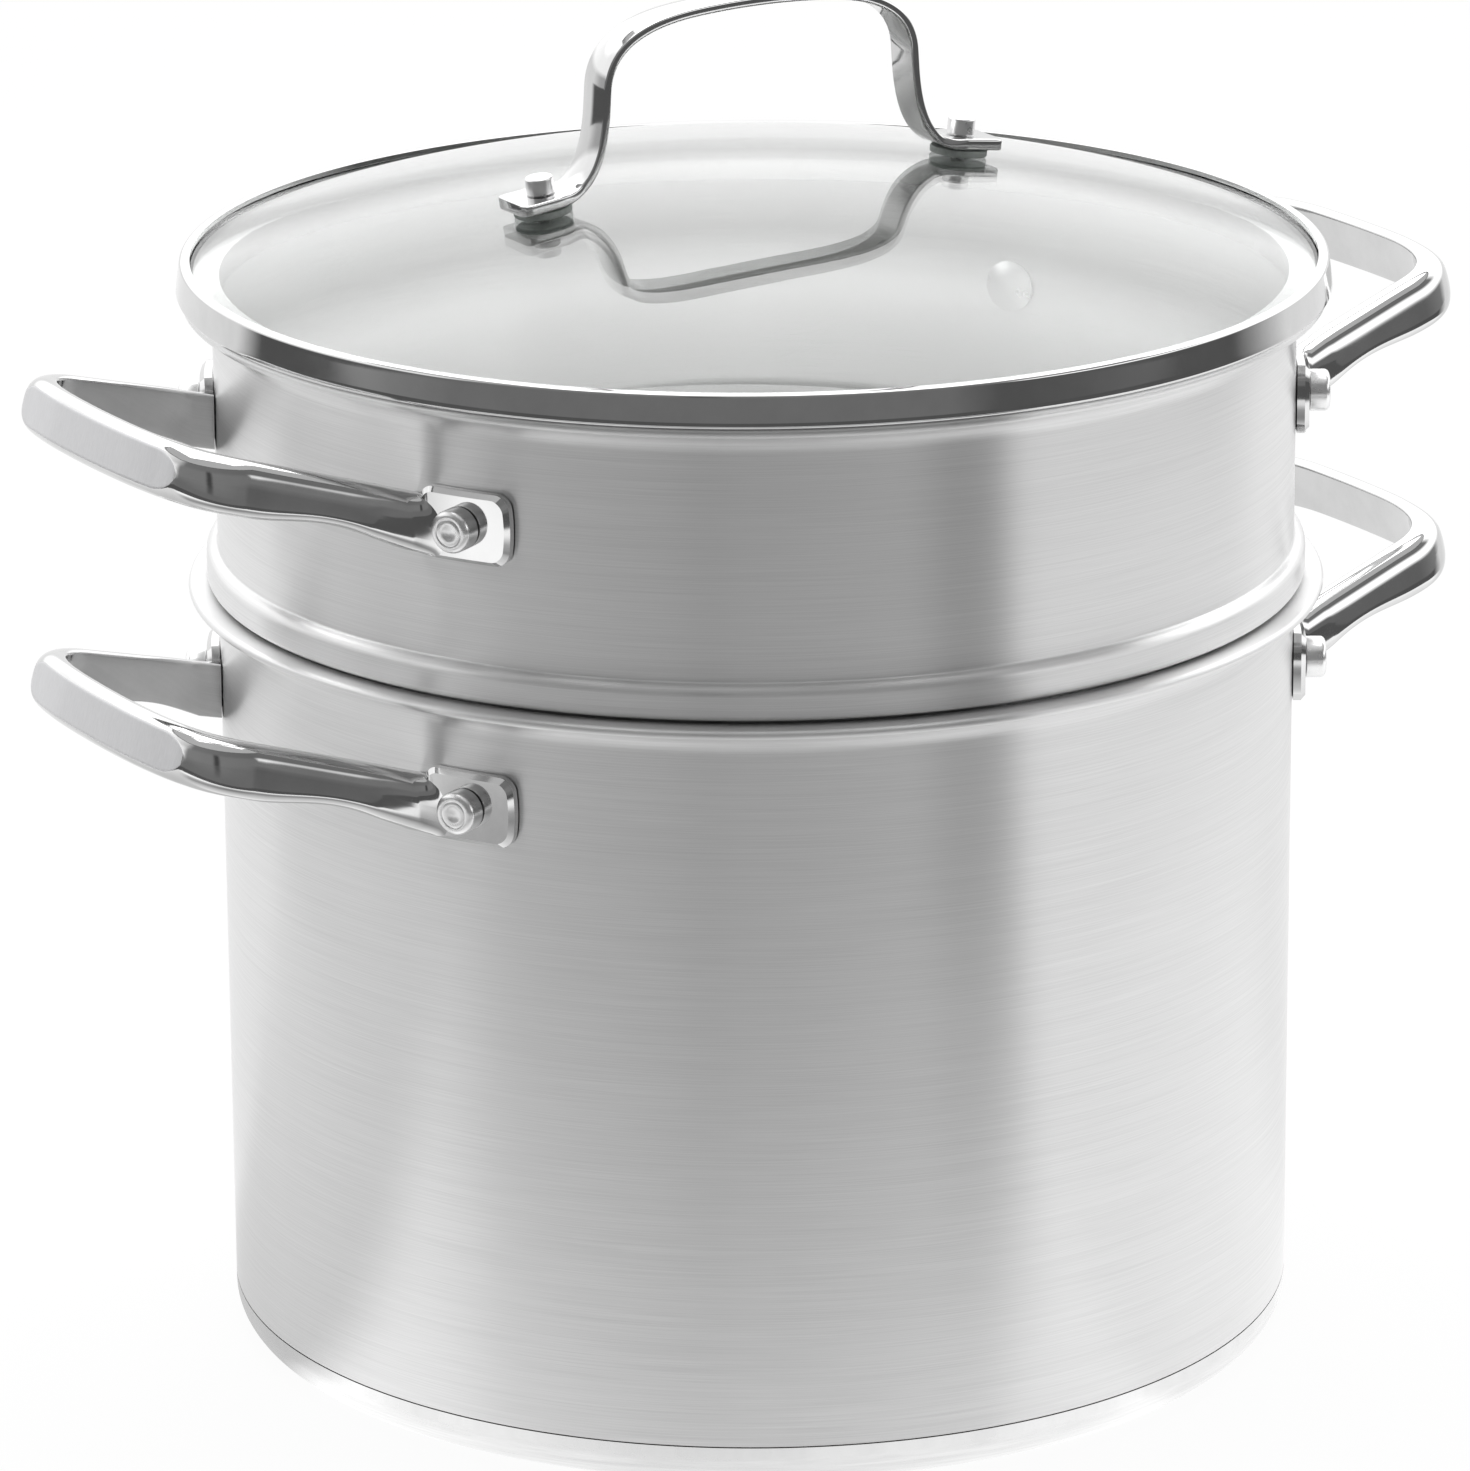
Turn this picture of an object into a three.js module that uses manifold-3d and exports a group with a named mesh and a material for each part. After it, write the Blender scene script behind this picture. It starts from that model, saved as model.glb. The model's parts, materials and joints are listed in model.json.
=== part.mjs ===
// Stockpot with a lift-out pasta insert and a glass lid.
// Millimetres, +Z up. The origin is the centre of the underside of the base.
// The loop handles lie along X: left is -X and right is +X, front is -Y.
import * as THREE from 'three';
import { mergeGeometries, mergeVertices } from 'three/addons/utils/BufferGeometryUtils.js';
import Module from 'manifold-3d';

// Common fit and facets
const clearance = 0.3;
const roundFacets = 40;
const smallFacets = 10;
const roundSteps = 3;
const smallRoundSteps = 2;
const bendSteps = 5;
const holeFacets = 6;
const holeCutLength = 24;

// Pot shell
const bodyRadius = 120.8;
const potHeight = 174.9;
const wallThickness = 1;
const floorThickness = 1;
const footCorner = 3.5;
const insideCorner = 8.5;

// Thick base under the pot: outer cap with an aluminium core
const capThickness = 1.2;
const capCorner = 8;
const coreThickness = 4.7;

// Flared lip, the same on pot and insert
const lipOverhang = 6.7;
const lipThickness = 2.2;
const lipFlare = 5;
const lipMouthRound = 2;

// Insert: collar above the pot, bead that seats on the pot's lip, basket below
const collarHeight = 65.4;
const beadProud = 2.6;
const beadHeight = 8.3;
const beadShoulder = 2.4;
const beadFootRound = 1.4;
const stepThickness = 1.5;
const basketWall = 0.9;
const basketGap = 3.3;
const basketDepth = 145;
const basketCorner = 12;

// Perforation of the basket
const wallHoleRadius = 3.2;
const wallHoleRows = 4;
const wallHolesAround = 20;
const wallHolePitch = 24;
const wallHoleFirstRow = 34;
const floorHoleRadius = 3.2;
const floorHoleRings = 3;
const floorHolePitch = 27;
const floorHolesPerRing = 5;

// Loop handle: inner face path, section and ground pad
const potRivetBelowLip = 23.1;
const insertRivetBelowLip = 26.4;
const handleStandOff = 41.1;
const handleBow = 0.8;
const handleRootHalf = 46.8;
const handleCornerHalf = 37.6;
const handleBarTrim = 23.6;
const handleArmTrim = 12.4;
const handleRootRise = -1;
const handleBarRise = 13.2;
const handleRootBury = 8;
const gripHeight = 12.3;
const gripDepth = 5.9;
const gripRoundness = 2.5;
const gripCornerBreak = 0.7;
const padDepth = 4.1;
const gripArcSteps = 6;

// Foot plates of the loop handle
const handleRivetHalf = 59.2;
const footLength = 22.6;
const footHeight = 15.6;
const footRound = 2.2;
const footThickness = 2.75;

// Handle rivets
const shankRadius = 2.5;
const stubRadius = 4.7;
const stubLength = 4.6;
const stubChamfer = 1.2;
const dimpleRadius = 1.5;
const dimpleDepth = 0.4;
const innerHeadRadius = 6;
const innerHeadHeight = 1.7;
const innerHeadRim = 0.7;
const innerHeadCrownRadius = 3.6;
const innerHeadCrownDrop = 0.25;

// Lid: glass dome in a steel band
const glassInset = 1.2;
const glassThickness = 4;
const domeRise = 19.8;
const domeSteps = 5;
const bandFlange = 1.4;
const bandOverhang = 1.2;
const bandTopInset = 0.8;
const bandGrip = 0.9;
const bandTopThickness = 1;
const bandEdgeRound = 0.7;
const skirtGap = 0.6;
const skirtThickness = 1;
const skirtDrop = 3.8;

// Lid handle: bent strap on two riveted feet
const lidFootRadius = 53.4;
const lidFootInner = 2.2;
const lidFootOuter = 7.8;
const lidFootWidth = 13.2;
const lidFootRound = 1.5;
const strapWidth = 9.4;
const strapThickness = 2.5;
const strapRise = 37.7;
const strapArch = 3.3;
const legInset = 12.4;
const legLean = 2.2;
const footBendAlong = 9.5;
const footBendUp = 17.5;
const topBendDown = 13.5;
const topBendAlong = 22.6;

// Lid handle rivets and washers
const lidShankRadius = 1.5;
const lidHeadRadius = 3.1;
const lidHeadHeight = 3.6;
const lidHeadChamfer = 0.5;
const lidNutRadius = 4.2;
const lidNutHeight = 1.6;
const washerRadius = 6.5;
const upperWasherThickness = 1.6;
const lowerWasherThickness = 1.2;

// Values that follow from the sizes above
const potFloorUnder = capThickness + clearance + coreThickness + clearance;
const potFloorTop = potFloorUnder + floorThickness;
const seamHeight = potFloorUnder + footCorner;
const insideRadius = bodyRadius - wallThickness;
const lipRadius = bodyRadius + lipOverhang;
const insertSeat = potHeight + clearance;
const insertTop = insertSeat + collarHeight;
const basketOuter = insideRadius - basketGap;
const basketInner = basketOuter - basketWall;
const basketUnder = insertSeat - basketDepth;
const basketFloorTop = basketUnder + basketWall;
const facetFlat = Math.cos(Math.PI / roundFacets);
const handleWall = bodyRadius + clearance;
const handleReach = handleWall + handleStandOff;
const handleRootX = Math.sqrt(handleWall ** 2 - handleRootHalf ** 2);
const handleCornerX = handleReach - handleBow;
const handleTilt = Math.atan2(handleBarRise - handleRootRise, handleCornerX - handleRootX);
const footAngle = Math.asin(handleRivetHalf / handleWall);
const footFace = handleWall + footThickness;
const bandBottom = insertTop + clearance;
const glassEdgeUnder = bandBottom + bandFlange + clearance;
const glassEdgeTop = glassEdgeUnder + glassThickness;
const glassRadius = lipRadius - glassInset;
const domeRadius = (glassRadius ** 2 + domeRise ** 2) / (2 * domeRise);
const domeCrown = glassEdgeTop + domeRise;
const domeCentre = domeCrown - domeRadius;
const strapShoulder = domeCrown + strapRise;
const grooveRadius = glassRadius + clearance;
const bandRadius = grooveRadius + bandOverhang + bandTopInset;
const skirtOuter = insideRadius - skirtGap;
const skirtInner = skirtOuter - skirtThickness;
const lidFootTilt = Math.asin(lidFootRadius / domeRadius);
const legBottomX = lidFootRadius - legInset;
const legTopX = legBottomX - legLean;
const strapUnder = 2 * clearance + upperWasherThickness;
const strapMiddle = strapUnder + strapThickness / 2;
const glassAcross = glassThickness * Math.cos(lidFootTilt);

// Library that joins and cuts closed meshes
const wasm = await Module();
wasm.setup();

function toSolid(geometry) {
  const bare = geometry.clone();
  bare.deleteAttribute('normal');
  bare.deleteAttribute('uv');
  const merged = mergeVertices(bare, 1e-4);
  const vertProperties = new Float32Array(merged.attributes.position.array);
  const triVerts = new Uint32Array(merged.index.array);
  return new wasm.Manifold(new wasm.Mesh({ numProp: 3, vertProperties, triVerts }));
}

function toGeometry(solid) {
  const mesh = solid.getMesh();
  const geometry = new THREE.BufferGeometry();
  geometry.setAttribute('position', new THREE.BufferAttribute(new Float32Array(mesh.vertProperties), 3));
  geometry.setIndex(new THREE.BufferAttribute(new Uint32Array(mesh.triVerts), 1));
  geometry.computeVertexNormals();
  return geometry;
}

// Points of a circular arc in the (radius, height) plane, angles in degrees
function arc(centreR, centreZ, radius, from, to, steps) {
  const points = [];
  for (let i = 0; i <= steps; i += 1) {
    const angle = THREE.MathUtils.degToRad(from + ((to - from) * i) / steps);
    points.push(new THREE.Vector2(centreR + radius * Math.cos(angle), centreZ + radius * Math.sin(angle)));
  }
  return points;
}

function at(radius, height) {
  return new THREE.Vector2(radius, height);
}

// Turned piece about Z; the profile runs up the outside and down the inside
function turned(profile, facets) {
  const geometry = new THREE.LatheGeometry(profile, facets);
  geometry.rotateX(Math.PI / 2);
  return geometry;
}

// Turned ring whose profile closes on itself
function turnedRing(profile, facets) {
  return turned([...profile, profile[0].clone()], facets);
}

// Flared lip that ends a wall: up the outside, over the edge, into the mouth
function lipProfile(top) {
  const edge = lipThickness / 2;
  const flare = Math.min(lipFlare, lipOverhang - edge);
  const under = top - lipThickness;
  return [
    ...arc(bodyRadius + flare, under - flare, flare, 180, 90, roundSteps),
    ...arc(lipRadius - edge, top - edge, edge, -90, 90, roundSteps),
    ...arc(insideRadius + lipMouthRound, top - lipMouthRound, lipMouthRound, 90, 180, smallRoundSteps),
  ];
}

// Cylinder cutter that points outward at an angle about Z; its middle lies at the given reach
function radialCutter(radius, facets, angle, reach, height) {
  const geometry = new THREE.CylinderGeometry(radius, radius, holeCutLength, facets);
  geometry.rotateZ(-Math.PI / 2);
  geometry.translate(reach, 0, height);
  geometry.rotateZ(angle);
  return geometry;
}

// Angles of the four handle feet about Z
const footAngles = [footAngle, -footAngle, Math.PI - footAngle, Math.PI + footAngle];

function cutRivetHoles(solid, height) {
  let result = solid;
  for (const angle of footAngles) {
    const cutter = radialCutter(shankRadius + clearance, smallFacets, angle, bodyRadius, height);
    result = result.subtract(toSolid(cutter));
  }
  return result;
}

const potRivetHeight = potHeight - potRivetBelowLip;
const insertRivetHeight = insertTop - insertRivetBelowLip;

// Pot shell with rivet holes
function potShell() {
  const footRadius = bodyRadius - capThickness - clearance;
  const profile = [
    at(0, potFloorUnder),
    ...arc(footRadius - footCorner, seamHeight, footCorner, -90, 0, smallRoundSteps),
    at(footRadius, seamHeight + clearance),
    at(bodyRadius, seamHeight + clearance),
    ...lipProfile(potHeight),
    ...arc(insideRadius - insideCorner, potFloorTop + insideCorner, insideCorner, 0, -90, roundSteps),
    at(0, potFloorTop),
  ];
  return toGeometry(cutRivetHoles(toSolid(turned(profile, roundFacets)), potRivetHeight));
}

// Base cap: a shallow dish with a rounded corner, open upward
function baseCap() {
  const innerCorner = capCorner - capThickness;
  const centreR = bodyRadius - capCorner;
  const profile = [
    at(0, 0),
    ...arc(centreR, capCorner, capCorner, -90, 0, roundSteps),
    at(bodyRadius, seamHeight),
    at(bodyRadius - capThickness, seamHeight),
    ...arc(centreR, capCorner, innerCorner, 0, -90, roundSteps),
    at(0, capThickness),
  ];
  return turned(profile, roundFacets);
}

// Aluminium core that fills the cap under the pot floor
function baseCore() {
  const corner = capCorner - capThickness - clearance;
  const centreR = bodyRadius - capCorner;
  const under = capThickness + clearance;
  const top = under + coreThickness;
  const sweep = THREE.MathUtils.radToDeg(Math.asin(Math.min(1, (capCorner - top) / corner)));
  const profile = [
    at(0, under),
    ...arc(centreR, capCorner, corner, -90, -sweep, roundSteps),
    at(0, top),
  ];
  return turned(profile, roundFacets);
}

// Round holes of the basket: staggered rows in the wall, rings in the floor
function basketCutters() {
  const cutters = [];
  for (let row = 0; row < wallHoleRows; row += 1) {
    const height = basketUnder + wallHoleFirstRow + row * wallHolePitch;
    for (let i = 0; i < wallHolesAround; i += 1) {
      const angle = ((i + (row % 2) / 2 + 1 / 4) * 2 * Math.PI) / wallHolesAround;
      cutters.push(radialCutter(wallHoleRadius, holeFacets, angle, basketOuter, height));
    }
  }
  for (let ring = 0; ring <= floorHoleRings; ring += 1) {
    const count = Math.max(1, ring * floorHolesPerRing);
    for (let i = 0; i < count; i += 1) {
      const angle = (i * 2 * Math.PI) / count;
      const hole = new THREE.CylinderGeometry(floorHoleRadius, floorHoleRadius, holeCutLength, holeFacets);
      hole.rotateX(Math.PI / 2);
      hole.translate(ring * floorHolePitch, 0, basketUnder + basketWall / 2);
      hole.rotateZ(angle);
      cutters.push(hole);
    }
  }
  return cutters;
}

// Insert: perforated basket, seat bead and collar in one spun piece
function insertBasket() {
  const beadRadius = bodyRadius + beadProud;
  const shoulder = Math.min(beadShoulder, beadProud);
  const stepTop = insertSeat + stepThickness;
  const innerCorner = basketCorner - basketWall;
  const profile = [
    at(0, basketUnder),
    ...arc(basketOuter - basketCorner, basketUnder + basketCorner, basketCorner, -90, 0, roundSteps),
    at(basketOuter, insertSeat),
    ...arc(beadRadius - beadFootRound, insertSeat + beadFootRound, beadFootRound, -90, 0, smallRoundSteps),
    ...arc(beadRadius - shoulder, insertSeat + beadHeight - shoulder, shoulder, 0, 90, smallRoundSteps),
    at(bodyRadius, insertSeat + beadHeight),
    ...lipProfile(insertTop),
    at(insideRadius, stepTop),
    at(basketInner, stepTop),
    ...arc(basketOuter - basketCorner, basketUnder + basketCorner, innerCorner, 0, -90, roundSteps),
    at(0, basketFloorTop),
  ];
  const solid = toSolid(turned(profile, roundFacets)).subtract(toSolid(mergeGeometries(basketCutters())));
  return toGeometry(cutRivetHoles(solid, insertRivetHeight));
}

// Path of straight runs and bends whose section keeps one side turned to a fixed direction
class HeldPath extends THREE.CurvePath {
  constructor(held) {
    super();
    this.held = held;
    this.stations = [];
  }

  // Adds a curve with stations along it; the next curve starts where this one ends
  addStretch(curve, steps) {
    const first = this.stations.length === 0 ? 0 : 1;
    for (let i = first; i <= steps; i += 1) {
      this.stations.push({ point: curve.getPoint(i / steps), tangent: curve.getTangent(i / steps) });
    }
    this.add(curve);
  }

  get steps() {
    return this.stations.length - 1;
  }

  getSpacedPoints() {
    return this.stations.map((station) => station.point);
  }

  computeFrenetFrames() {
    const tangents = this.stations.map((station) => station.tangent);
    const binormals = tangents.map((tangent) => {
      const along = tangent.clone().multiplyScalar(this.held.dot(tangent));
      return this.held.clone().sub(along).normalize();
    });
    const normals = binormals.map((binormal, i) => binormal.clone().cross(tangents[i]));
    return { tangents, normals, binormals };
  }
}

// Section of the loop handle: flat towards the pot, rounded outside
function gripShape() {
  const half = gripHeight / 2;
  const shape = new THREE.Shape();
  shape.moveTo(0, gripCornerBreak - half);
  for (let i = 0; i <= gripArcSteps; i += 1) {
    const angle = -Math.PI / 2 + (Math.PI * i) / gripArcSteps;
    const power = 2 / gripRoundness;
    const x = gripDepth * Math.abs(Math.cos(angle)) ** power;
    const y = half * Math.sign(Math.sin(angle)) * Math.abs(Math.sin(angle)) ** power;
    shape.lineTo(x + gripCornerBreak * (1 - x / gripDepth), y);
  }
  shape.lineTo(0, half - gripCornerBreak);
  return shape;
}

// Centre line of the handle's inner face, from the back foot round to the front foot.
// The loop lies in a plane that rises outward, and its section stands square to that plane.
function gripPath() {
  const backRoot = new THREE.Vector3(handleRootX, handleRootHalf, handleRootRise);
  const backCorner = new THREE.Vector3(handleCornerX, handleCornerHalf, handleBarRise);
  const bury = backRoot.clone().sub(backCorner).setLength(handleRootBury);
  const backStart = backRoot.clone().add(bury);
  const flip = new THREE.Vector3(1, -1, 1);
  const frontStart = backStart.clone().multiply(flip);
  const frontCorner = backCorner.clone().multiply(flip);
  const barMiddle = new THREE.Vector3(handleReach + handleBow, 0, handleBarRise);
  const armBack = backStart.clone().sub(backCorner).setLength(handleArmTrim).add(backCorner);
  const armFront = armBack.clone().multiply(flip);
  const barBack = barMiddle.clone().sub(backCorner).setLength(handleBarTrim).add(backCorner);
  const barFront = barBack.clone().multiply(flip);
  const path = new HeldPath(new THREE.Vector3(-Math.sin(handleTilt), 0, Math.cos(handleTilt)));
  path.addStretch(new THREE.LineCurve3(backStart, armBack), 1);
  path.addStretch(new THREE.QuadraticBezierCurve3(armBack, backCorner, barBack), bendSteps);
  path.addStretch(new THREE.QuadraticBezierCurve3(barBack, barMiddle, barFront), bendSteps);
  path.addStretch(new THREE.QuadraticBezierCurve3(barFront, frontCorner, armFront), bendSteps);
  path.addStretch(new THREE.LineCurve3(armFront, frontStart), 1);
  return path;
}

function roundedRectangle(length, height, round) {
  const x = length / 2;
  const y = height / 2;
  const r = Math.min(round, x, y);
  const shape = new THREE.Shape();
  shape.absarc(x - r, y - r, r, 0, Math.PI / 2);
  shape.absarc(r - x, y - r, r, Math.PI / 2, Math.PI);
  shape.absarc(r - x, r - y, r, Math.PI, 1.5 * Math.PI);
  shape.absarc(x - r, r - y, r, 1.5 * Math.PI, 2 * Math.PI);
  return shape;
}

// Foot plate bent to the pot wall, with its rivet hole
function footPlate(angle) {
  const blank = new THREE.ExtrudeGeometry(roundedRectangle(footLength, footHeight, footRound), {
    depth: bodyRadius,
    bevelEnabled: false,
    curveSegments: roundSteps,
  });
  blank.rotateX(Math.PI / 2);
  blank.rotateZ(Math.PI / 2);
  blank.translate(bodyRadius / 2, 0, 0);
  blank.rotateZ(angle);
  const ring = turnedRing(
    [
      at(handleWall, -footHeight),
      at(footFace, -footHeight),
      at(footFace, footHeight),
      at(handleWall, footHeight),
    ],
    roundFacets,
  );
  return toSolid(blank).intersect(toSolid(ring));
}

// Loop handle in its own frame: pot axis along Z, outward along X, rivets at height 0
function loopHandle() {
  const path = gripPath();
  const bar = new THREE.ExtrudeGeometry(gripShape(), { steps: path.steps, extrudePath: path });
  const wall = turned(
    [at(0, -bodyRadius), at(handleWall, -bodyRadius), at(handleWall, bodyRadius), at(0, bodyRadius)],
    roundFacets,
  );
  const ground = new THREE.BoxGeometry(gripDepth * 4, bodyRadius * 2, bodyRadius);
  ground.translate(padDepth + gripDepth * 2, 0, 0);
  ground.rotateY(-handleTilt);
  ground.translate(handleReach, 0, handleBarRise);
  let solid = toSolid(bar).subtract(toSolid(wall)).subtract(toSolid(ground));
  for (const angle of [footAngle, -footAngle]) {
    const hole = radialCutter(shankRadius + clearance, smallFacets, angle, footFace, 0);
    const seatMiddle = footFace + holeCutLength / 2;
    const seat = radialCutter(stubRadius + clearance, smallFacets, angle, seatMiddle, 0);
    solid = solid.subtract(toSolid(seat)).add(footPlate(angle)).subtract(toSolid(hole));
  }
  return toGeometry(solid);
}

// Handle rivet along +X from the pot axis: low head inside, stub outside
function handleRivet() {
  const inside = insideRadius * facetFlat - clearance;
  const outside = footFace + clearance;
  const end = outside + stubLength;
  const profile = [
    at(0, inside - innerHeadHeight),
    at(innerHeadCrownRadius, inside - innerHeadHeight + innerHeadCrownDrop),
    at(innerHeadRadius, inside - innerHeadRim),
    at(innerHeadRadius, inside),
    at(shankRadius, inside),
    at(shankRadius, outside),
    at(stubRadius, outside),
    at(stubRadius, end - stubChamfer),
    at(stubRadius - stubChamfer, end),
    at(dimpleRadius, end),
    at(0, end - dimpleDepth),
  ];
  const geometry = new THREE.LatheGeometry(profile, smallFacets);
  geometry.rotateZ(-Math.PI / 2);
  return geometry;
}

// Height of the dome's upper face at a distance from the axis
function domeTop(radius) {
  return domeCentre + Math.sqrt(domeRadius ** 2 - radius ** 2);
}

// Frame of a lid handle foot: on the dome, square to it, outward along local +X
function lidFootMatrix(side) {
  const turn = new THREE.Matrix4().makeRotationY(lidFootTilt);
  const place = new THREE.Matrix4().makeTranslation(lidFootRadius, 0, domeTop(lidFootRadius));
  const face = new THREE.Matrix4().makeRotationZ(side > 0 ? 0 : Math.PI);
  return face.multiply(place).multiply(turn);
}

function lidFootHole(radius, side) {
  const hole = new THREE.CylinderGeometry(radius, radius, holeCutLength, smallFacets);
  hole.rotateX(Math.PI / 2);
  hole.applyMatrix4(lidFootMatrix(side));
  return toSolid(hole);
}

// Glass dome with two rivet holes
function lidGlass() {
  const profile = [];
  for (let i = 0; i <= domeSteps; i += 1) {
    const radius = (glassRadius * i) / domeSteps;
    profile.push(at(radius, domeTop(radius) - glassThickness));
  }
  for (let i = domeSteps; i >= 0; i -= 1) {
    const radius = (glassRadius * i) / domeSteps;
    profile.push(at(radius, domeTop(radius)));
  }
  let solid = toSolid(turned(profile, roundFacets));
  for (const side of [1, -1]) {
    solid = solid.subtract(lidFootHole(lidShankRadius + clearance, side));
  }
  return toGeometry(solid);
}

// Steel band crimped round the glass edge, with a skirt that drops inside the collar
function lidBand() {
  const flangeTop = bandBottom + bandFlange;
  const lipInner = glassRadius - bandGrip;
  const lipUnder = domeTop(lipInner) + clearance;
  const top = lipUnder + bandTopThickness;
  const topRadius = bandRadius - bandTopInset;
  const profile = [
    at(skirtInner, bandBottom - skirtDrop),
    at(skirtOuter, bandBottom - skirtDrop),
    at(skirtOuter, bandBottom),
    at(bandRadius - bandEdgeRound, bandBottom),
    at(bandRadius, bandBottom + bandEdgeRound),
    at(topRadius, top - bandEdgeRound),
    at(topRadius - bandEdgeRound, top),
    at(lipInner, top),
    at(lipInner, lipUnder),
    at(grooveRadius, lipUnder),
    at(grooveRadius, flangeTop),
    at(skirtInner, flangeTop),
  ];
  return turnedRing(profile, roundFacets);
}

// Lid handle: strap bent over the dome, on two rounded feet
function lidHandle() {
  const held = new THREE.Vector3(0, 1, 0);
  const path = new HeldPath(held);
  const footFrame = lidFootMatrix(1);
  const footAt = (along) => new THREE.Vector3(along, 0, strapMiddle).applyMatrix4(footFrame);
  const footMiddle = footAt(0);
  const footInward = footAt(-1).sub(footMiddle);
  const bend = footMiddle.clone().addScaledVector(footInward, (legBottomX - footMiddle.x) / footInward.x);
  const shoulder = new THREE.Vector3(legTopX, 0, strapShoulder - strapThickness / 2);
  const topMiddle = new THREE.Vector3(0, 0, shoulder.z + strapArch);
  const towards = (from, to, length) => to.clone().sub(from).setLength(length).add(from);
  const bendStart = towards(bend, footMiddle, footBendAlong);
  const bendEnd = towards(bend, shoulder, footBendUp);
  const topStart = towards(shoulder, bend, topBendDown);
  const topEnd = towards(shoulder, topMiddle, topBendAlong);
  const over = (point) => point.clone().multiply(new THREE.Vector3(-1, 1, 1));
  path.addStretch(new THREE.LineCurve3(footMiddle, bendStart), 1);
  path.addStretch(new THREE.QuadraticBezierCurve3(bendStart, bend, bendEnd), bendSteps);
  path.addStretch(new THREE.LineCurve3(bendEnd, topStart), 1);
  path.addStretch(new THREE.QuadraticBezierCurve3(topStart, shoulder, topEnd), bendSteps);
  path.addStretch(new THREE.QuadraticBezierCurve3(topEnd, topMiddle, over(topEnd)), bendSteps);
  path.addStretch(new THREE.QuadraticBezierCurve3(over(topEnd), over(shoulder), over(topStart)), bendSteps);
  path.addStretch(new THREE.LineCurve3(over(topStart), over(bendEnd)), 1);
  path.addStretch(new THREE.QuadraticBezierCurve3(over(bendEnd), over(bend), over(bendStart)), bendSteps);
  path.addStretch(new THREE.LineCurve3(over(bendStart), over(footMiddle)), 1);
  const section = new THREE.Shape();
  const x = strapThickness / 2;
  const y = strapWidth / 2;
  section.moveTo(-x, -y);
  section.lineTo(x, -y);
  section.lineTo(x, y);
  section.lineTo(-x, y);
  let solid = toSolid(new THREE.ExtrudeGeometry(section, { steps: path.steps, extrudePath: path }));
  for (const side of [1, -1]) {
    const length = lidFootInner + lidFootOuter;
    const foot = new THREE.ExtrudeGeometry(roundedRectangle(length, lidFootWidth, lidFootRound), {
      depth: strapThickness,
      bevelEnabled: false,
      curveSegments: roundSteps,
    });
    foot.translate((lidFootOuter - lidFootInner) / 2, 0, strapUnder);
    foot.applyMatrix4(lidFootMatrix(side));
    solid = solid.add(toSolid(foot)).subtract(lidFootHole(lidShankRadius + clearance, side));
  }
  return toGeometry(solid);
}

// Lid rivet in its foot's frame: head above the strap, nut below the lower washer
function lidRivet() {
  const headFoot = strapUnder + strapThickness + clearance;
  const headTop = headFoot + lidHeadHeight;
  const nutTop = -glassAcross - 2 * clearance - lowerWasherThickness;
  const profile = [
    at(0, nutTop - lidNutHeight),
    at(lidNutRadius, nutTop - lidNutHeight),
    at(lidNutRadius, nutTop),
    at(lidShankRadius, nutTop),
    at(lidShankRadius, headFoot),
    at(lidHeadRadius, headFoot),
    at(lidHeadRadius, headTop - lidHeadChamfer),
    at(lidHeadRadius - lidHeadChamfer, headTop),
    at(0, headTop),
  ];
  return turned(profile, smallFacets);
}

function washer(under, thickness) {
  const bore = lidShankRadius + clearance;
  return turnedRing(
    [
      at(bore, under),
      at(washerRadius, under),
      at(washerRadius, under + thickness),
      at(bore, under + thickness),
    ],
    smallFacets,
  );
}

// Materials
function steel(colour, roughness) {
  return new THREE.MeshStandardMaterial({ color: colour, roughness, metalness: 1 });
}

const brushedSteel = steel(0xc4c4c4, 0.35);
const polishedSteel = steel(0xd8d8d8, 0.08);
const satinSteel = steel(0xcfcfd2, 0.3);
const aluminium = steel(0xb9bcc0, 0.5);
const clearGlass = new THREE.MeshStandardMaterial({
  color: 0xe9efec,
  roughness: 0.03,
  metalness: 0,
  transparent: true,
  opacity: 0.3,
});
const sealGrey = new THREE.MeshStandardMaterial({ color: 0x3c443f, roughness: 0.6, metalness: 0 });

// Assembly
const stockpot = new THREE.Group();

function addMesh(parent, name, geometry, material) {
  const mesh = new THREE.Mesh(geometry, material);
  mesh.name = name;
  parent.add(mesh);
  return mesh;
}

addMesh(stockpot, 'pot_shell', potShell(), brushedSteel);
addMesh(stockpot, 'pot_base_core', baseCore(), aluminium);
addMesh(stockpot, 'pot_base_cap', baseCap(), satinSteel);
addMesh(stockpot, 'insert_basket', insertBasket(), brushedSteel);

// Two loop handles on the pot and two on the insert, each with a front and a back rivet
const handleGeometry = loopHandle();
const rivetGeometry = handleRivet();

function addHandles(owner, height) {
  for (const side of ['right', 'left']) {
    const frame = new THREE.Group();
    frame.position.z = height;
    frame.rotation.z = side === 'right' ? 0 : Math.PI;
    stockpot.add(frame);
    addMesh(frame, `${owner}_handle_${side}`, handleGeometry, polishedSteel);
    for (const end of ['back', 'front']) {
      const towardsBack = (end === 'back') === (side === 'right');
      const rivet = addMesh(frame, `${owner}_rivet_${side}_${end}`, rivetGeometry, satinSteel);
      rivet.rotation.z = towardsBack ? footAngle : -footAngle;
    }
  }
}

addHandles('pot', potRivetHeight);
addHandles('insert', insertRivetHeight);

// Lid
addMesh(stockpot, 'lid_glass', lidGlass(), clearGlass);
addMesh(stockpot, 'lid_rim_band', lidBand(), polishedSteel);
addMesh(stockpot, 'lid_handle', lidHandle(), polishedSteel);

const lidRivetGeometry = lidRivet();
const upperWasherGeometry = washer(clearance, upperWasherThickness);
const lowerWasherGeometry = washer(-glassAcross - clearance - lowerWasherThickness, lowerWasherThickness);

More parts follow.
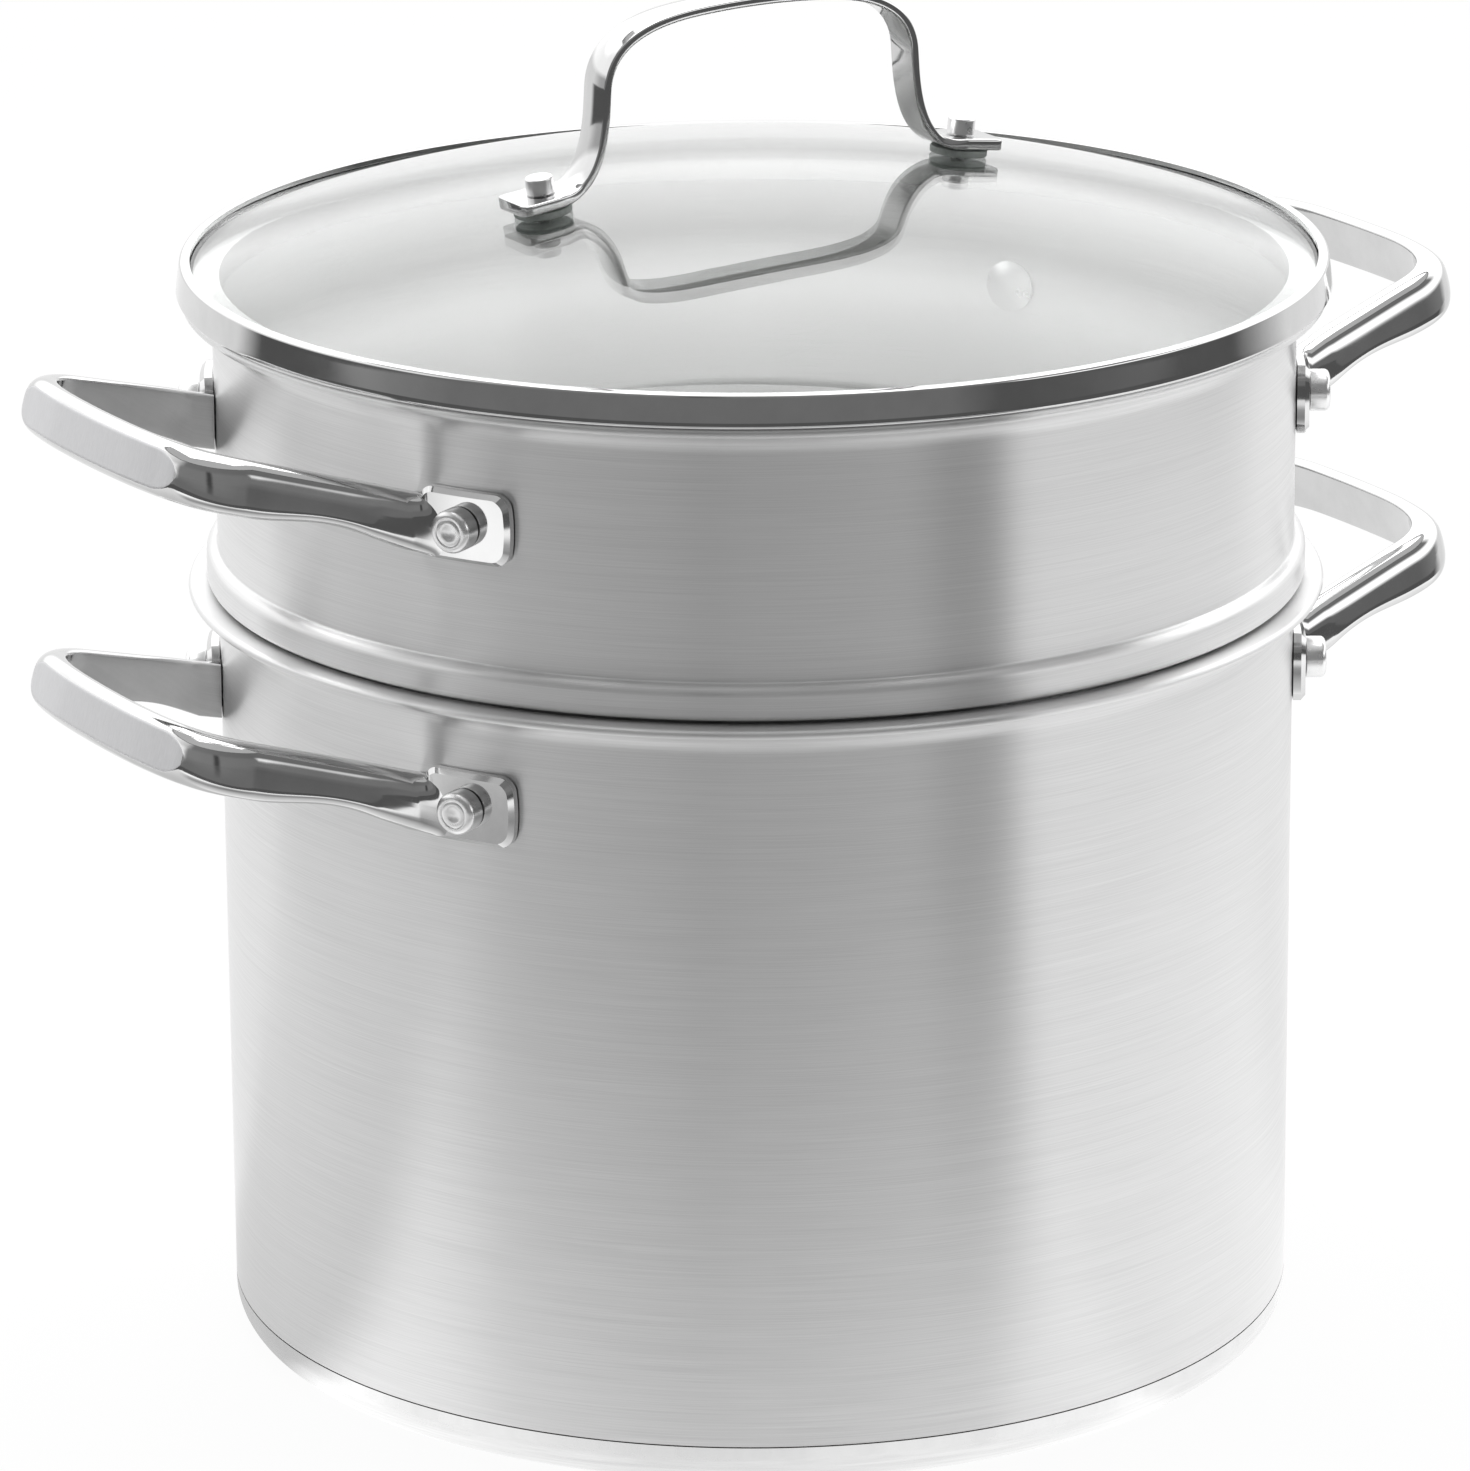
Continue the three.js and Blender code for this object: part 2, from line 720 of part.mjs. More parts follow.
for (const [side, sign] of [['right', 1], ['left', -1]]) {
  const frame = new THREE.Group();
  frame.applyMatrix4(lidFootMatrix(sign));
  stockpot.add(frame);
  addMesh(frame, `lid_rivet_${side}`, lidRivetGeometry, satinSteel);
  addMesh(frame, `lid_upper_washer_${side}`, upperWasherGeometry, sealGrey);
  addMesh(frame, `lid_lower_washer_${side}`, lowerWasherGeometry, sealGrey);
}

export default stockpot;
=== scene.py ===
"""Stockpot with a lift-out pasta insert and a glass lid, lit as in a white studio.

Sizes are in millimetres until a mesh is made. +Z is up, the loop handles lie along X and front is -Y.
"""
import json
import math

import bmesh
import bpy
from mathutils import Matrix, Vector
from mathutils.geometry import delaunay_2d_cdt

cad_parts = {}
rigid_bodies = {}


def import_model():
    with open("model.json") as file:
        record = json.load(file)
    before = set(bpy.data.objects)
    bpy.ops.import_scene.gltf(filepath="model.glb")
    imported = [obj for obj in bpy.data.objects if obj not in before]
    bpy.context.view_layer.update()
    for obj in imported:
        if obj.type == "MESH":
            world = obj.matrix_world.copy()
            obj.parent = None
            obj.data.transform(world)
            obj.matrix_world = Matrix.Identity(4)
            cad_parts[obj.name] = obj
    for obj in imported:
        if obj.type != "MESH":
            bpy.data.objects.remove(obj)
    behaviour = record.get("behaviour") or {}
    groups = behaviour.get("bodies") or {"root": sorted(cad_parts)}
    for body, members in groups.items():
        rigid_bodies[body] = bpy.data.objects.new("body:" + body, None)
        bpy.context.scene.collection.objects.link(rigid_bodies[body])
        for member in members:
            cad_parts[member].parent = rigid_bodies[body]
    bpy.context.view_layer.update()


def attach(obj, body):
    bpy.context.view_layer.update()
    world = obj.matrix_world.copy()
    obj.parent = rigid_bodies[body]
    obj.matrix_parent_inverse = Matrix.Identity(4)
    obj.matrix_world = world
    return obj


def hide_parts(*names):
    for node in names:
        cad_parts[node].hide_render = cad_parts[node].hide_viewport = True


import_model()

MM = 0.001

# Common fit and facets
CLEARANCE = 0.3
ROUND_FACETS = 256
SMALL_FACETS = 48
SHARP_ANGLE = math.radians(35)
WELD_DISTANCE = 2e-6

# Pot shell and thick base
BODY_RADIUS = 120.8
POT_HEIGHT = 174.9
WALL = 1.0
FLOOR = 1.0
FOOT_CORNER = 3.5
INSIDE_CORNER = 8.5
CAP_THICKNESS = 1.2
CAP_CORNER = 8.0
CORE_THICKNESS = 4.7

# Flared lip, the same on pot and insert
LIP_OVERHANG = 6.7
LIP_THICKNESS = 2.2
LIP_FLARE = 5.0
LIP_MOUTH_ROUND = 2.0

# Faces of the inside: how far their normals lean in towards the axis, or up
INWARD_LEAN = 0.5
UPWARD_LEAN = 0.7

# Insert
COLLAR_HEIGHT = 65.4
BEAD_PROUD = 2.6
BEAD_HEIGHT = 8.3
BEAD_SHOULDER = 2.4
BEAD_FOOT_ROUND = 1.4
BEAD_CREASE_ROUND = 0.6
SEAT_RELIEF = 0.5
STEP_THICKNESS = 1.5
STEP_EDGE_ROUND = 0.6
STEP_CORNER = 2.0
BASKET_WALL = 0.9
BASKET_GAP = 3.3
BASKET_DEPTH = 145.0
BASKET_CORNER = 12.0
HOLE_RADIUS = 3.2
HOLE_ROWS = 4
HOLES_AROUND = 20
HOLE_PITCH = 24.0
HOLE_FIRST_ROW = 34.0
HOLE_SIDE_STEPS = 8
HOLE_COLLAR = 1.45  # ring of faces round a hole, as a share of its radius
FLOOR_HOLE_RINGS = 3
FLOOR_HOLE_PITCH = 27.0
FLOOR_HOLES_PER_RING = 5
FLOOR_HOLE_FACETS = 32
FLOOR_POINT_GAP = 1e-5
FLOOR_HOLE_OPEN = 0.98  # share of a hole's radius that is cleared

# Loop handles
POT_RIVET_BELOW_LIP = 23.1
INSERT_RIVET_BELOW_LIP = 26.4
HANDLE_STAND_OFF = 41.1
HANDLE_BOW = 0.8
LOOP_SET_IN = 0.42  # the squarer section would otherwise reach past the plain loop
HANDLE_ROOT_HALF = 46.8
HANDLE_CORNER_HALF = 37.6
HANDLE_BAR_TRIM = 23.6
HANDLE_ARM_TRIM = 12.4
HANDLE_ROOT_RISE = -1.0
HANDLE_BAR_RISE = 13.2
GRIP_HEIGHT = 12.3
GRIP_DEPTH = 5.9
BAR_DEPTH = 5.1
ARM_FROM = 33.0
ARM_TO = 46.0
BAR_DEPTH_FROM = 20.0
BAR_DEPTH_TO = 36.0
GRIP_ROUNDNESS = 2.7
ARM_LOWER_ROUNDNESS = 5.5
ARM_TWIST = math.radians(9)
UNTWIST_FROM = 0.6  # shares of the arm's length
UNTWIST_TO = 0.95
GRIP_CORNER_BREAK = 0.7
CORNER_EXTRA_DEPTH = 0.5
CORNER_EXTRA_REACH = 8.0
CORNER_EXTRA_PLACE = 0.9  # share of the half bar at which the corner is deepest
ARM_WAIST = 1.8
ARM_FILLET = 3.2
ARM_FILLET_STEPS = 8
HANDLE_BAR_STEPS = 48
HANDLE_BEND_STEPS = 56
HANDLE_ARM_STEPS = 24
PAD_LENGTH = 68.0
PAD_HEIGHT = 8.8
PAD_END_ROUND = 6.0
GRIP_CORNER_STEPS = 4
GRIP_SIDE_STEPS = 16
GRIP_FLAT_STEPS = 10
GRIP_INNER_STEPS = 6
GRIP_MIN_FLAT = 0.3
HANDLE_RIVET_HALF = 59.2
FOOT_LENGTH = 22.6
FOOT_HEIGHT = 15.6
FOOT_ROUND = 3.0
FOOT_END_BOW = 0.8
FOOT_BOW_REACH = 6.0
FOOT_CORNER_STEPS = 8
FOOT_EDGE_STEPS = 12
FOOT_FACE_RINGS = (0.8, 0.6, 0.4, 0.2)
FOOT_THICKNESS = 2.75
FOOT_CHAMFER = 1.0

# Handle rivets
SHANK_RADIUS = 2.5
STUB_RADIUS = 4.7
STUB_LENGTH = 4.6
STUB_SHOULDER = 1.3
STUB_EDGE_ROUND = 0.2
DISC_RING_RADIUS = 2.9
DISC_RING_WIDTH = 0.3
DISC_RING_DEPTH = 0.07
DIMPLE_RADIUS = 1.5
DIMPLE_DEPTH = 0.22
DIMPLE_EDGE_DROP = 0.05
DIMPLE_MIDWAY = 0.8  # share of the depth reached at half the radius
INNER_HEAD_RADIUS = 6.0
INNER_HEAD_HEIGHT = 1.7
INNER_HEAD_RIM = 0.5
INNER_HEAD_STEPS = 12

# Lid
GLASS_INSET = 1.2
GLASS_THICKNESS = 4.0
GLASS_STEPS = 48
DOME_RISE = 19.8
BAND_FLANGE = 1.4
BAND_OVERHANG = 1.2
BAND_TOP_INSET = 0.8
BAND_GRIP = 0.9
BAND_TOP_THICKNESS = 1.0
BAND_EDGE_ROUND = 0.7
SKIRT_GAP = 0.6
SKIRT_THICKNESS = 1.0
SKIRT_DROP = 3.8

# Lid handle
LID_FOOT_RADIUS = 53.4
LID_FOOT_OUTER = 7.8
LID_FOOT_WIDTH = 13.2
LID_FOOT_ROUND = 1.5
LID_FOOT_FLARE_FROM = 1.0
LID_FOOT_FLARE_TO = 9.0
STRAP_WIDTH = 9.4
STRAP_THICKNESS = 2.5
STRAP_CROWN = 0.55
STRAP_FACE_STEPS = 8
STRAP_EDGE_ROUND = 0.45
STRAP_EDGE_STEPS = 4
STRAP_FOOT_STEPS = 20
STRAP_LEG_STEPS = 8
STRAP_TOP_STEPS = 24
STRAP_RISE = 37.7
STRAP_ARCH = 3.25  # a shade under the plain strap, since the crown adds to it
LEG_INSET = 12.4
LEG_LEAN = 2.2
FOOT_BEND_ALONG = 9.5
FOOT_BEND_UP = 17.5
TOP_BEND_DOWN = 13.5
TOP_BEND_ALONG = 22.6
LID_HEAD_RADIUS = 3.1
LID_HEAD_HEIGHT = 3.6
LID_HEAD_CHAMFER = 0.5
LID_SHANK_RADIUS = 1.5
LID_NUT_RADIUS = 4.2
LID_NUT_HEIGHT = 1.6
LID_NUT_ROUND = 0.6
WASHER_RADIUS = 6.5
WASHER_EDGE_ROUND = 0.3
UPPER_WASHER = 1.6
LOWER_WASHER = 1.2

# Values that follow from the sizes above
FLOOR_UNDER = CAP_THICKNESS + CLEARANCE + CORE_THICKNESS + CLEARANCE
FLOOR_TOP = FLOOR_UNDER + FLOOR
SEAM_HEIGHT = FLOOR_UNDER + FOOT_CORNER
INSIDE_RADIUS = BODY_RADIUS - WALL
LIP_RADIUS = BODY_RADIUS + LIP_OVERHANG
INSERT_SEAT = POT_HEIGHT + CLEARANCE
INSERT_TOP = INSERT_SEAT + COLLAR_HEIGHT
BASKET_OUTER = INSIDE_RADIUS - BASKET_GAP
BASKET_INNER = BASKET_OUTER - BASKET_WALL
BASKET_UNDER = INSERT_SEAT - BASKET_DEPTH
HANDLE_WALL = BODY_RADIUS + CLEARANCE
HANDLE_REACH = HANDLE_WALL + HANDLE_STAND_OFF - LOOP_SET_IN
HANDLE_ROOT_X = math.sqrt(HANDLE_WALL**2 - HANDLE_ROOT_HALF**2)
HANDLE_CORNER_X = HANDLE_REACH - HANDLE_BOW
HANDLE_TILT = math.atan2(HANDLE_BAR_RISE - HANDLE_ROOT_RISE, HANDLE_CORNER_X - HANDLE_ROOT_X)
FOOT_ANGLE = math.asin(HANDLE_RIVET_HALF / HANDLE_WALL)
FOOT_FACE = HANDLE_WALL + FOOT_THICKNESS
POT_RIVET_HEIGHT = POT_HEIGHT - POT_RIVET_BELOW_LIP
INSERT_RIVET_HEIGHT = INSERT_TOP - INSERT_RIVET_BELOW_LIP
BAND_BOTTOM = INSERT_TOP + CLEARANCE
GLASS_EDGE_UNDER = BAND_BOTTOM + BAND_FLANGE + CLEARANCE
GLASS_RADIUS = LIP_RADIUS - GLASS_INSET
DOME_RADIUS = (GLASS_RADIUS**2 + DOME_RISE**2) / (2 * DOME_RISE)
DOME_CROWN = GLASS_EDGE_UNDER + GLASS_THICKNESS + DOME_RISE
DOME_CENTRE = DOME_CROWN - DOME_RADIUS
STRAP_SHOULDER = DOME_CROWN + STRAP_RISE
GROOVE_RADIUS = GLASS_RADIUS + CLEARANCE
BAND_RADIUS = GROOVE_RADIUS + BAND_OVERHANG + BAND_TOP_INSET
SKIRT_OUTER = INSIDE_RADIUS - SKIRT_GAP
SKIRT_INNER = SKIRT_OUTER - SKIRT_THICKNESS
LID_FOOT_TILT = math.asin(LID_FOOT_RADIUS / DOME_RADIUS)
LEG_BOTTOM_X = LID_FOOT_RADIUS - LEG_INSET
LEG_TOP_X = LEG_BOTTOM_X - LEG_LEAN
STRAP_UNDER = 2 * CLEARANCE + UPPER_WASHER
GLASS_ACROSS = GLASS_THICKNESS * math.cos(LID_FOOT_TILT)


# Meshes

def arc(centre_r, centre_z, radius, start, end, steps):
    """Points of a circular arc in the (radius, height) plane, angles in degrees."""
    points = []
    for i in range(steps + 1):
        angle = math.radians(start + (end - start) * i / steps)
        points.append((centre_r + radius * math.cos(angle), centre_z + radius * math.sin(angle)))
    return points


def line(start, end, steps):
    """Points between two profile points, without either."""
    (r0, z0), (r1, z1) = start, end
    return [(r0 + (r1 - r0) * i / steps, z0 + (z1 - z0) * i / steps) for i in range(1, steps)]


def strip(low, high):
    """Faces between two loops of as many vertices."""
    following = [*range(1, len(low)), 0]
    return [[low[i], low[j], high[j], high[i]] for i, j in enumerate(following)]


def turned(profile, facets, ring=False):
    """A profile turned about Z. A ring's profile closes on itself; another one stays open."""
    verts, faces, rows = [], [], []
    for radius, height in profile:
        if radius < 1e-6:
            rows.append([len(verts)] * facets)
            verts.append((0, 0, height))
            continue
        rows.append(list(range(len(verts), len(verts) + facets)))
        for i in range(facets):
            angle = 2 * math.pi * i / facets
            verts.append((radius * math.cos(angle), radius * math.sin(angle), height))
    pairs = list(zip(rows, rows[1:]))
    if ring:
        pairs.append((rows[-1], rows[0]))
    for low, high in pairs:
        for face in strip(low, high):
            corners = list(dict.fromkeys(face))
            if len(corners) > 2:
                faces.append(corners)
    return verts, faces


def swept(sections):
    """A closed skin over sections with the same number of points, capped at both ends."""
    count = len(sections[0])
    verts = [point for section in sections for point in section]
    rows = [list(range(k * count, (k + 1) * count)) for k in range(len(sections))]
    faces = []
    for low, high in zip(rows, rows[1:]):
        faces.extend(strip(low, high))
    return verts, [*faces, rows[0][::-1], rows[-1]]


def line_inside(obj, index):
    """Gives the faces that look in towards the axis, or up inside the wall, another material."""
    for polygon in obj.data.polygons:
        middle = polygon.center
        reach = math.hypot(middle.x, middle.y)
        inward = -(polygon.normal.x * middle.x + polygon.normal.y * middle.y) / max(reach, 1e-6)
        level = polygon.normal.z > UPWARD_LEAN and reach < INSIDE_RADIUS * MM
        if inward > INWARD_LEAN or level:
            polygon.material_index = index
    return obj


def add_piece(name, shape, body, materials, nodes, matrix=None):
    """A mesh object in the frame of the whole part that stands for the named nodes."""
    verts, faces = shape
    place = matrix or Matrix.Identity(4)
    mesh = bpy.data.meshes.new(name)
    mesh.from_pydata([(place @ Vector(v)) * MM for v in verts], [], faces)
    mesh.validate()
    mesh.polygons.foreach_set("use_smooth", [True] * len(mesh.polygons))
    mesh.set_sharp_from_angle(angle=SHARP_ANGLE)
    for material in materials:
        mesh.materials.append(material)
    obj = bpy.data.objects.new(name, mesh)
    bpy.context.scene.collection.objects.link(obj)
    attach(obj, body)
    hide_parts(*nodes)
    return obj


# Materials

def new_material(name):
    material = bpy.data.materials.new(name)
    material.use_nodes = True
    tree = material.node_tree
    shader = tree.nodes["Principled BSDF"]
    return material, tree, shader


def link(tree, start, end):
    tree.links.new(start, end)


def set_inputs(node, values):
    for name, value in values.items():
        node.inputs[name].default_value = value


NOISE_LOW = 0.3
NOISE_HIGH = 0.7


def noise_over(tree, vector, scale, detail, roughness):
    """Noise over a vector, stretched by a scale for each axis, per metre."""
    stretch = tree.nodes.new("ShaderNodeMapping")
    stretch.inputs["Scale"].default_value = scale
    noise = tree.nodes.new("ShaderNodeTexNoise")
    set_inputs(noise, {"Scale": 1.0, "Detail": detail, "Roughness": roughness})
    link(tree, vector, stretch.inputs["Vector"])
    link(tree, stretch.outputs["Vector"], noise.inputs["Vector"])
    return noise.outputs["Fac"]


def stretched_noise(tree, scale, detail=4.0, roughness=0.6):
    """Noise over object coordinates."""
    place = tree.nodes.new("ShaderNodeTexCoord")
    return noise_over(tree, place.outputs["Object"], scale, detail, roughness)


def turned_noise(tree, across, along, detail, roughness):
    """Noise over distance from the axis and a little over angle, for lines turned on a flat face."""
    place = tree.nodes.new("ShaderNodeTexCoord")
    parts = tree.nodes.new("ShaderNodeSeparateXYZ")
    flat = tree.nodes.new("ShaderNodeCombineXYZ")
    reach = tree.nodes.new("ShaderNodeVectorMath")
    reach.operation = "LENGTH"
    joined = tree.nodes.new("ShaderNodeCombineXYZ")
    link(tree, place.outputs["Object"], parts.inputs["Vector"])
    for node in (flat, joined):
        link(tree, parts.outputs["X"], node.inputs["X"])
        link(tree, parts.outputs["Y"], node.inputs["Y"])
    link(tree, flat.outputs["Vector"], reach.inputs[0])
    link(tree, reach.outputs["Value"], joined.inputs["Z"])
    return noise_over(tree, joined.outputs["Vector"], (along, along, across), detail, roughness)


def colour_between(tree, factor, dark, light):
    """A colour ramp over a noise factor."""
    ramp = tree.nodes.new("ShaderNodeValToRGB")
    ramp.color_ramp.elements[0].position = NOISE_LOW
    ramp.color_ramp.elements[0].color = (*dark, 1)
    ramp.color_ramp.elements[1].position = NOISE_HIGH
    ramp.color_ramp.elements[1].color = (*light, 1)
    link(tree, factor, ramp.inputs["Fac"])
    return ramp.outputs["Color"]


def value_between(tree, factor, low, high):
    """A number that runs from low to high over a noise factor."""
    spread = tree.nodes.new("ShaderNodeMapRange")
    set_inputs(spread, {"From Min": NOISE_LOW, "From Max": NOISE_HIGH, "To Min": low, "To Max": high})
    link(tree, factor, spread.inputs["Value"])
    return spread.outputs["Result"]


def dress(tree, shader, noise, dark, light, low, high, bump=None):
    """Colour, roughness and bump, as (strength, distance), of a shader from one noise."""
    link(tree, colour_between(tree, noise, dark, light), shader.inputs["Base Color"])
    link(tree, value_between(tree, noise, low, high), shader.inputs["Roughness"])
    if bump:
        relief = tree.nodes.new("ShaderNodeBump")
        set_inputs(relief, {"Strength": bump[0], "Distance": bump[1]})
        link(tree, noise, relief.inputs["Height"])
        link(tree, relief.outputs["Normal"], shader.inputs["Normal"])


def brushed_steel(name, dark, light, smooth, rough):
    """Steel brushed round the axis: fine level lines, and reflections drawn out up and down."""
    material, tree, shader = new_material(name)
    set_inputs(shader, {"Metallic": 1.0, "Anisotropic": 0.97, "Anisotropic Rotation": 0.25})
    tangent = tree.nodes.new("ShaderNodeTangent")
    tangent.direction_type = "RADIAL"
    tangent.axis = "Z"
    link(tree, tangent.outputs["Tangent"], shader.inputs["Tangent"])
    lines = stretched_noise(tree, (28, 28, 5200), detail=3)
    dress(tree, shader, lines, dark, light, rough, smooth, (0.05, 0.00002))
    return material


def turned_steel(name, dark, light, smooth, rough):
    """Steel with fine turned lines on its flat faces."""
    material, tree, shader = new_material(name)
    set_inputs(shader, {"Metallic": 1.0})
    lines = turned_noise(tree, 2200, 30, detail=5, roughness=0.7)
    dress(tree, shader, lines, dark, light, rough, smooth, (0.1, 0.00004))
    return material


def polished_steel(name, dark, light, smooth, rough):
    """Mirror polished steel with faint cloudy wear."""
    material, tree, shader = new_material(name)
    set_inputs(shader, {"Metallic": 1.0})
    wear = stretched_noise(tree, (60, 60, 60), detail=6, roughness=0.65)
    dress(tree, shader, wear, dark, light, smooth, rough)
    return material


def satin_steel(name, dark, light, smooth, rough, scale):
    """Ground or blasted steel with a fine grain."""
    material, tree, shader = new_material(name)
    set_inputs(shader, {"Metallic": 1.0})
    grain = stretched_noise(tree, scale, detail=5, roughness=0.7)
    dress(tree, shader, grain, dark, light, smooth, rough, (0.04, 0.00003))
    return material


def clear_glass(name):
    """Clear glass with a faint green cast and a little haze from wiping."""
    material, tree, shader = new_material(name)
    set_inputs(shader, {"Transmission Weight": 1.0, "IOR": 1.5})
    haze = stretched_noise(tree, (18, 40, 30), detail=6)
    dress(tree, shader, haze, (0.955, 0.975, 0.965), (0.985, 0.992, 0.987), 0.0, 0.02)
    return material


def seal_rubber(name):
    """Dark grey-green seal with a dull, slightly uneven skin."""
    material, tree, shader = new_material(name)
    skin = stretched_noise(tree, (900, 900, 900), detail=5)
    dress(tree, shader, skin, (0.3, 0.33, 0.31), (0.4, 0.43, 0.41), 0.45, 0.65, (0.2, 0.0001))
    return material


BRUSHED = brushed_steel("brushed_wall", (0.69, 0.69, 0.69), (0.77, 0.77, 0.77), 0.31, 0.37)
BRUSHED_INSIDE = brushed_steel("brushed_inside", (0.62, 0.62, 0.61), (0.72, 0.72, 0.71), 0.42, 0.5)
BASE_STEEL = turned_steel("turned_base", (0.66, 0.66, 0.66), (0.78, 0.78, 0.78), 0.2, 0.3)
POLISHED = polished_steel("polished_steel", (0.58, 0.58, 0.58), (0.66, 0.66, 0.66), 0.05, 0.1)
GROUND_PAD = satin_steel("ground_pad", (0.66, 0.66, 0.67), (0.74, 0.74, 0.75), 0.4, 0.5, (400, 2500, 400))
SATIN = satin_steel("satin_rivet", (0.8, 0.8, 0.8), (0.85, 0.85, 0.85), 0.26, 0.32, (300, 300, 300))
CORE_METAL = satin_steel("core_metal", (0.6, 0.61, 0.62), (0.72, 0.73, 0.74), 0.4, 0.55, (300, 300, 2000))
GLASS = clear_glass("clear_glass")
SEAL = seal_rubber("seal_rubber")


# Pot

def lip_profile(top):
    """Flared lip that ends a wall: up the outside, over the edge and into the mouth."""
    edge = LIP_THICKNESS / 2
    under = top - LIP_THICKNESS
    return [
        *arc(BODY_RADIUS + LIP_FLARE, under - LIP_FLARE, LIP_FLARE, 180, 90, 14),
        *arc(LIP_RADIUS - edge, top - edge, edge, -90, 90, 12),
        *arc(INSIDE_RADIUS + LIP_MOUTH_ROUND, top - LIP_MOUTH_ROUND, LIP_MOUTH_ROUND, 90, 180, 8),
    ]


def pot_shell():
    foot_radius = BODY_RADIUS - CAP_THICKNESS - CLEARANCE
    wall_foot = (BODY_RADIUS, SEAM_HEIGHT + CLEARANCE)
    lip = lip_profile(POT_HEIGHT)
    floor_edge = INSIDE_RADIUS - INSIDE_CORNER
    return [
        (0, FLOOR_UNDER),
        *arc(foot_radius - FOOT_CORNER, SEAM_HEIGHT, FOOT_CORNER, -90, 0, 6),
        (foot_radius, SEAM_HEIGHT + CLEARANCE),
        wall_foot,
        *line(wall_foot, lip[0], 8),
        *lip,
        *line(lip[-1], (INSIDE_RADIUS, FLOOR_TOP + INSIDE_CORNER), 8),
        *arc(floor_edge, FLOOR_TOP + INSIDE_CORNER, INSIDE_CORNER, 0, -90, 12),
        *line((floor_edge, FLOOR_TOP), (0, FLOOR_TOP), 10),
        (0, FLOOR_TOP),
    ]


def base_cap():
    centre = BODY_RADIUS - CAP_CORNER
    return [
        (0, 0),
        *line((0, 0), (centre, 0), 10),
        *arc(centre, CAP_CORNER, CAP_CORNER, -90, 0, 16),
        (BODY_RADIUS, SEAM_HEIGHT),
        (BODY_RADIUS - CAP_THICKNESS, SEAM_HEIGHT),
        *arc(centre, CAP_CORNER, CAP_CORNER - CAP_THICKNESS, 0, -90, 8),
        (0, CAP_THICKNESS),
    ]


WALL_STEELS = [BRUSHED, BRUSHED_INSIDE]
shell = turned(pot_shell(), ROUND_FACETS)
line_inside(add_piece("pot_body", shell, "pot", WALL_STEELS, ["pot_shell"]), 1)
dish = turned(base_cap(), ROUND_FACETS)
add_piece("pot_base_dish", dish, "pot", [BASE_STEEL], ["pot_base_cap"])


# Insert

def insert_profile():
    """Seat bead, collar and the step into the basket, as one open profile from the outside in."""
    bead = BODY_RADIUS + BEAD_PROUD
    step_top = INSERT_SEAT + STEP_THICKNESS
    crease = INSERT_SEAT + BEAD_HEIGHT
    lip = lip_profile(INSERT_TOP)
    return [
        (BASKET_OUTER, INSERT_SEAT + SEAT_RELIEF),
        *arc(bead - BEAD_FOOT_ROUND, INSERT_SEAT + SEAT_RELIEF + BEAD_FOOT_ROUND, BEAD_FOOT_ROUND, -90, 0, 8),
        *arc(bead - BEAD_SHOULDER, crease - BEAD_SHOULDER, BEAD_SHOULDER, 0, 75, 10),
        *arc(BODY_RADIUS + BEAD_CREASE_ROUND, crease + BEAD_CREASE_ROUND, BEAD_CREASE_ROUND, -105, -180, 6),
        *line((BODY_RADIUS, crease + BEAD_CREASE_ROUND), lip[0], 6),
        *lip,
        *line(lip[-1], (INSIDE_RADIUS, step_top + STEP_CORNER), 6),
        *arc(INSIDE_RADIUS - STEP_CORNER, step_top + STEP_CORNER, STEP_CORNER, 0, -90, 8),
        *arc(BASKET_INNER + STEP_EDGE_ROUND, step_top - STEP_EDGE_ROUND, STEP_EDGE_ROUND, 90, 180, 5),
    ]


def basket_wall_cells(radius):
    """Band of the basket wall with round holes, at a radius: verts, faces and the holes' loops."""
    verts, faces, loops, index = [], [], [], {}

    def vertex(turn, height):
        key = (round(turn % 1, 6) % 1, round(height, 4))
        if key not in index:
            index[key] = len(verts)
            angle = 2 * math.pi * turn
            verts.append((radius * math.cos(angle), radius * math.sin(angle), height))
        return index[key]

    square = []
    for side in range(4):
        for k in range(HOLE_SIDE_STEPS):
            share = k / HOLE_SIDE_STEPS - 0.5
            square.append(((share, -0.5), (0.5, share), (-share, 0.5), (-0.5, -share))[side])
    around = 2 * math.pi * BASKET_OUTER
    for row in range(HOLE_ROWS):
        middle = BASKET_UNDER + HOLE_FIRST_ROW + row * HOLE_PITCH
        for i in range(HOLES_AROUND):
            turn = (i + (row % 2) / 2 + 1 / 4) / HOLES_AROUND
            previous = [vertex(turn + x / HOLES_AROUND, middle + y * HOLE_PITCH) for x, y in square]
            for reach in (HOLE_RADIUS * HOLE_COLLAR, HOLE_RADIUS):
                ring = []
                for x, y in square:
                    angle = math.atan2(y, x)
                    across = reach * math.cos(angle) / around
                    ring.append(vertex(turn + across, middle + reach * math.sin(angle)))
                faces.extend(strip(previous, ring))
                previous = ring
            loops.append(previous)
    return verts, faces, loops


def circle(centre, radius, count, way=1):
    """Points round a circle in the plane; way -1 goes clockwise."""
    angles = [way * 2 * math.pi * i / count for i in range(count)]
    return [(centre[0] + radius * math.cos(a), centre[1] + radius * math.sin(a)) for a in angles]


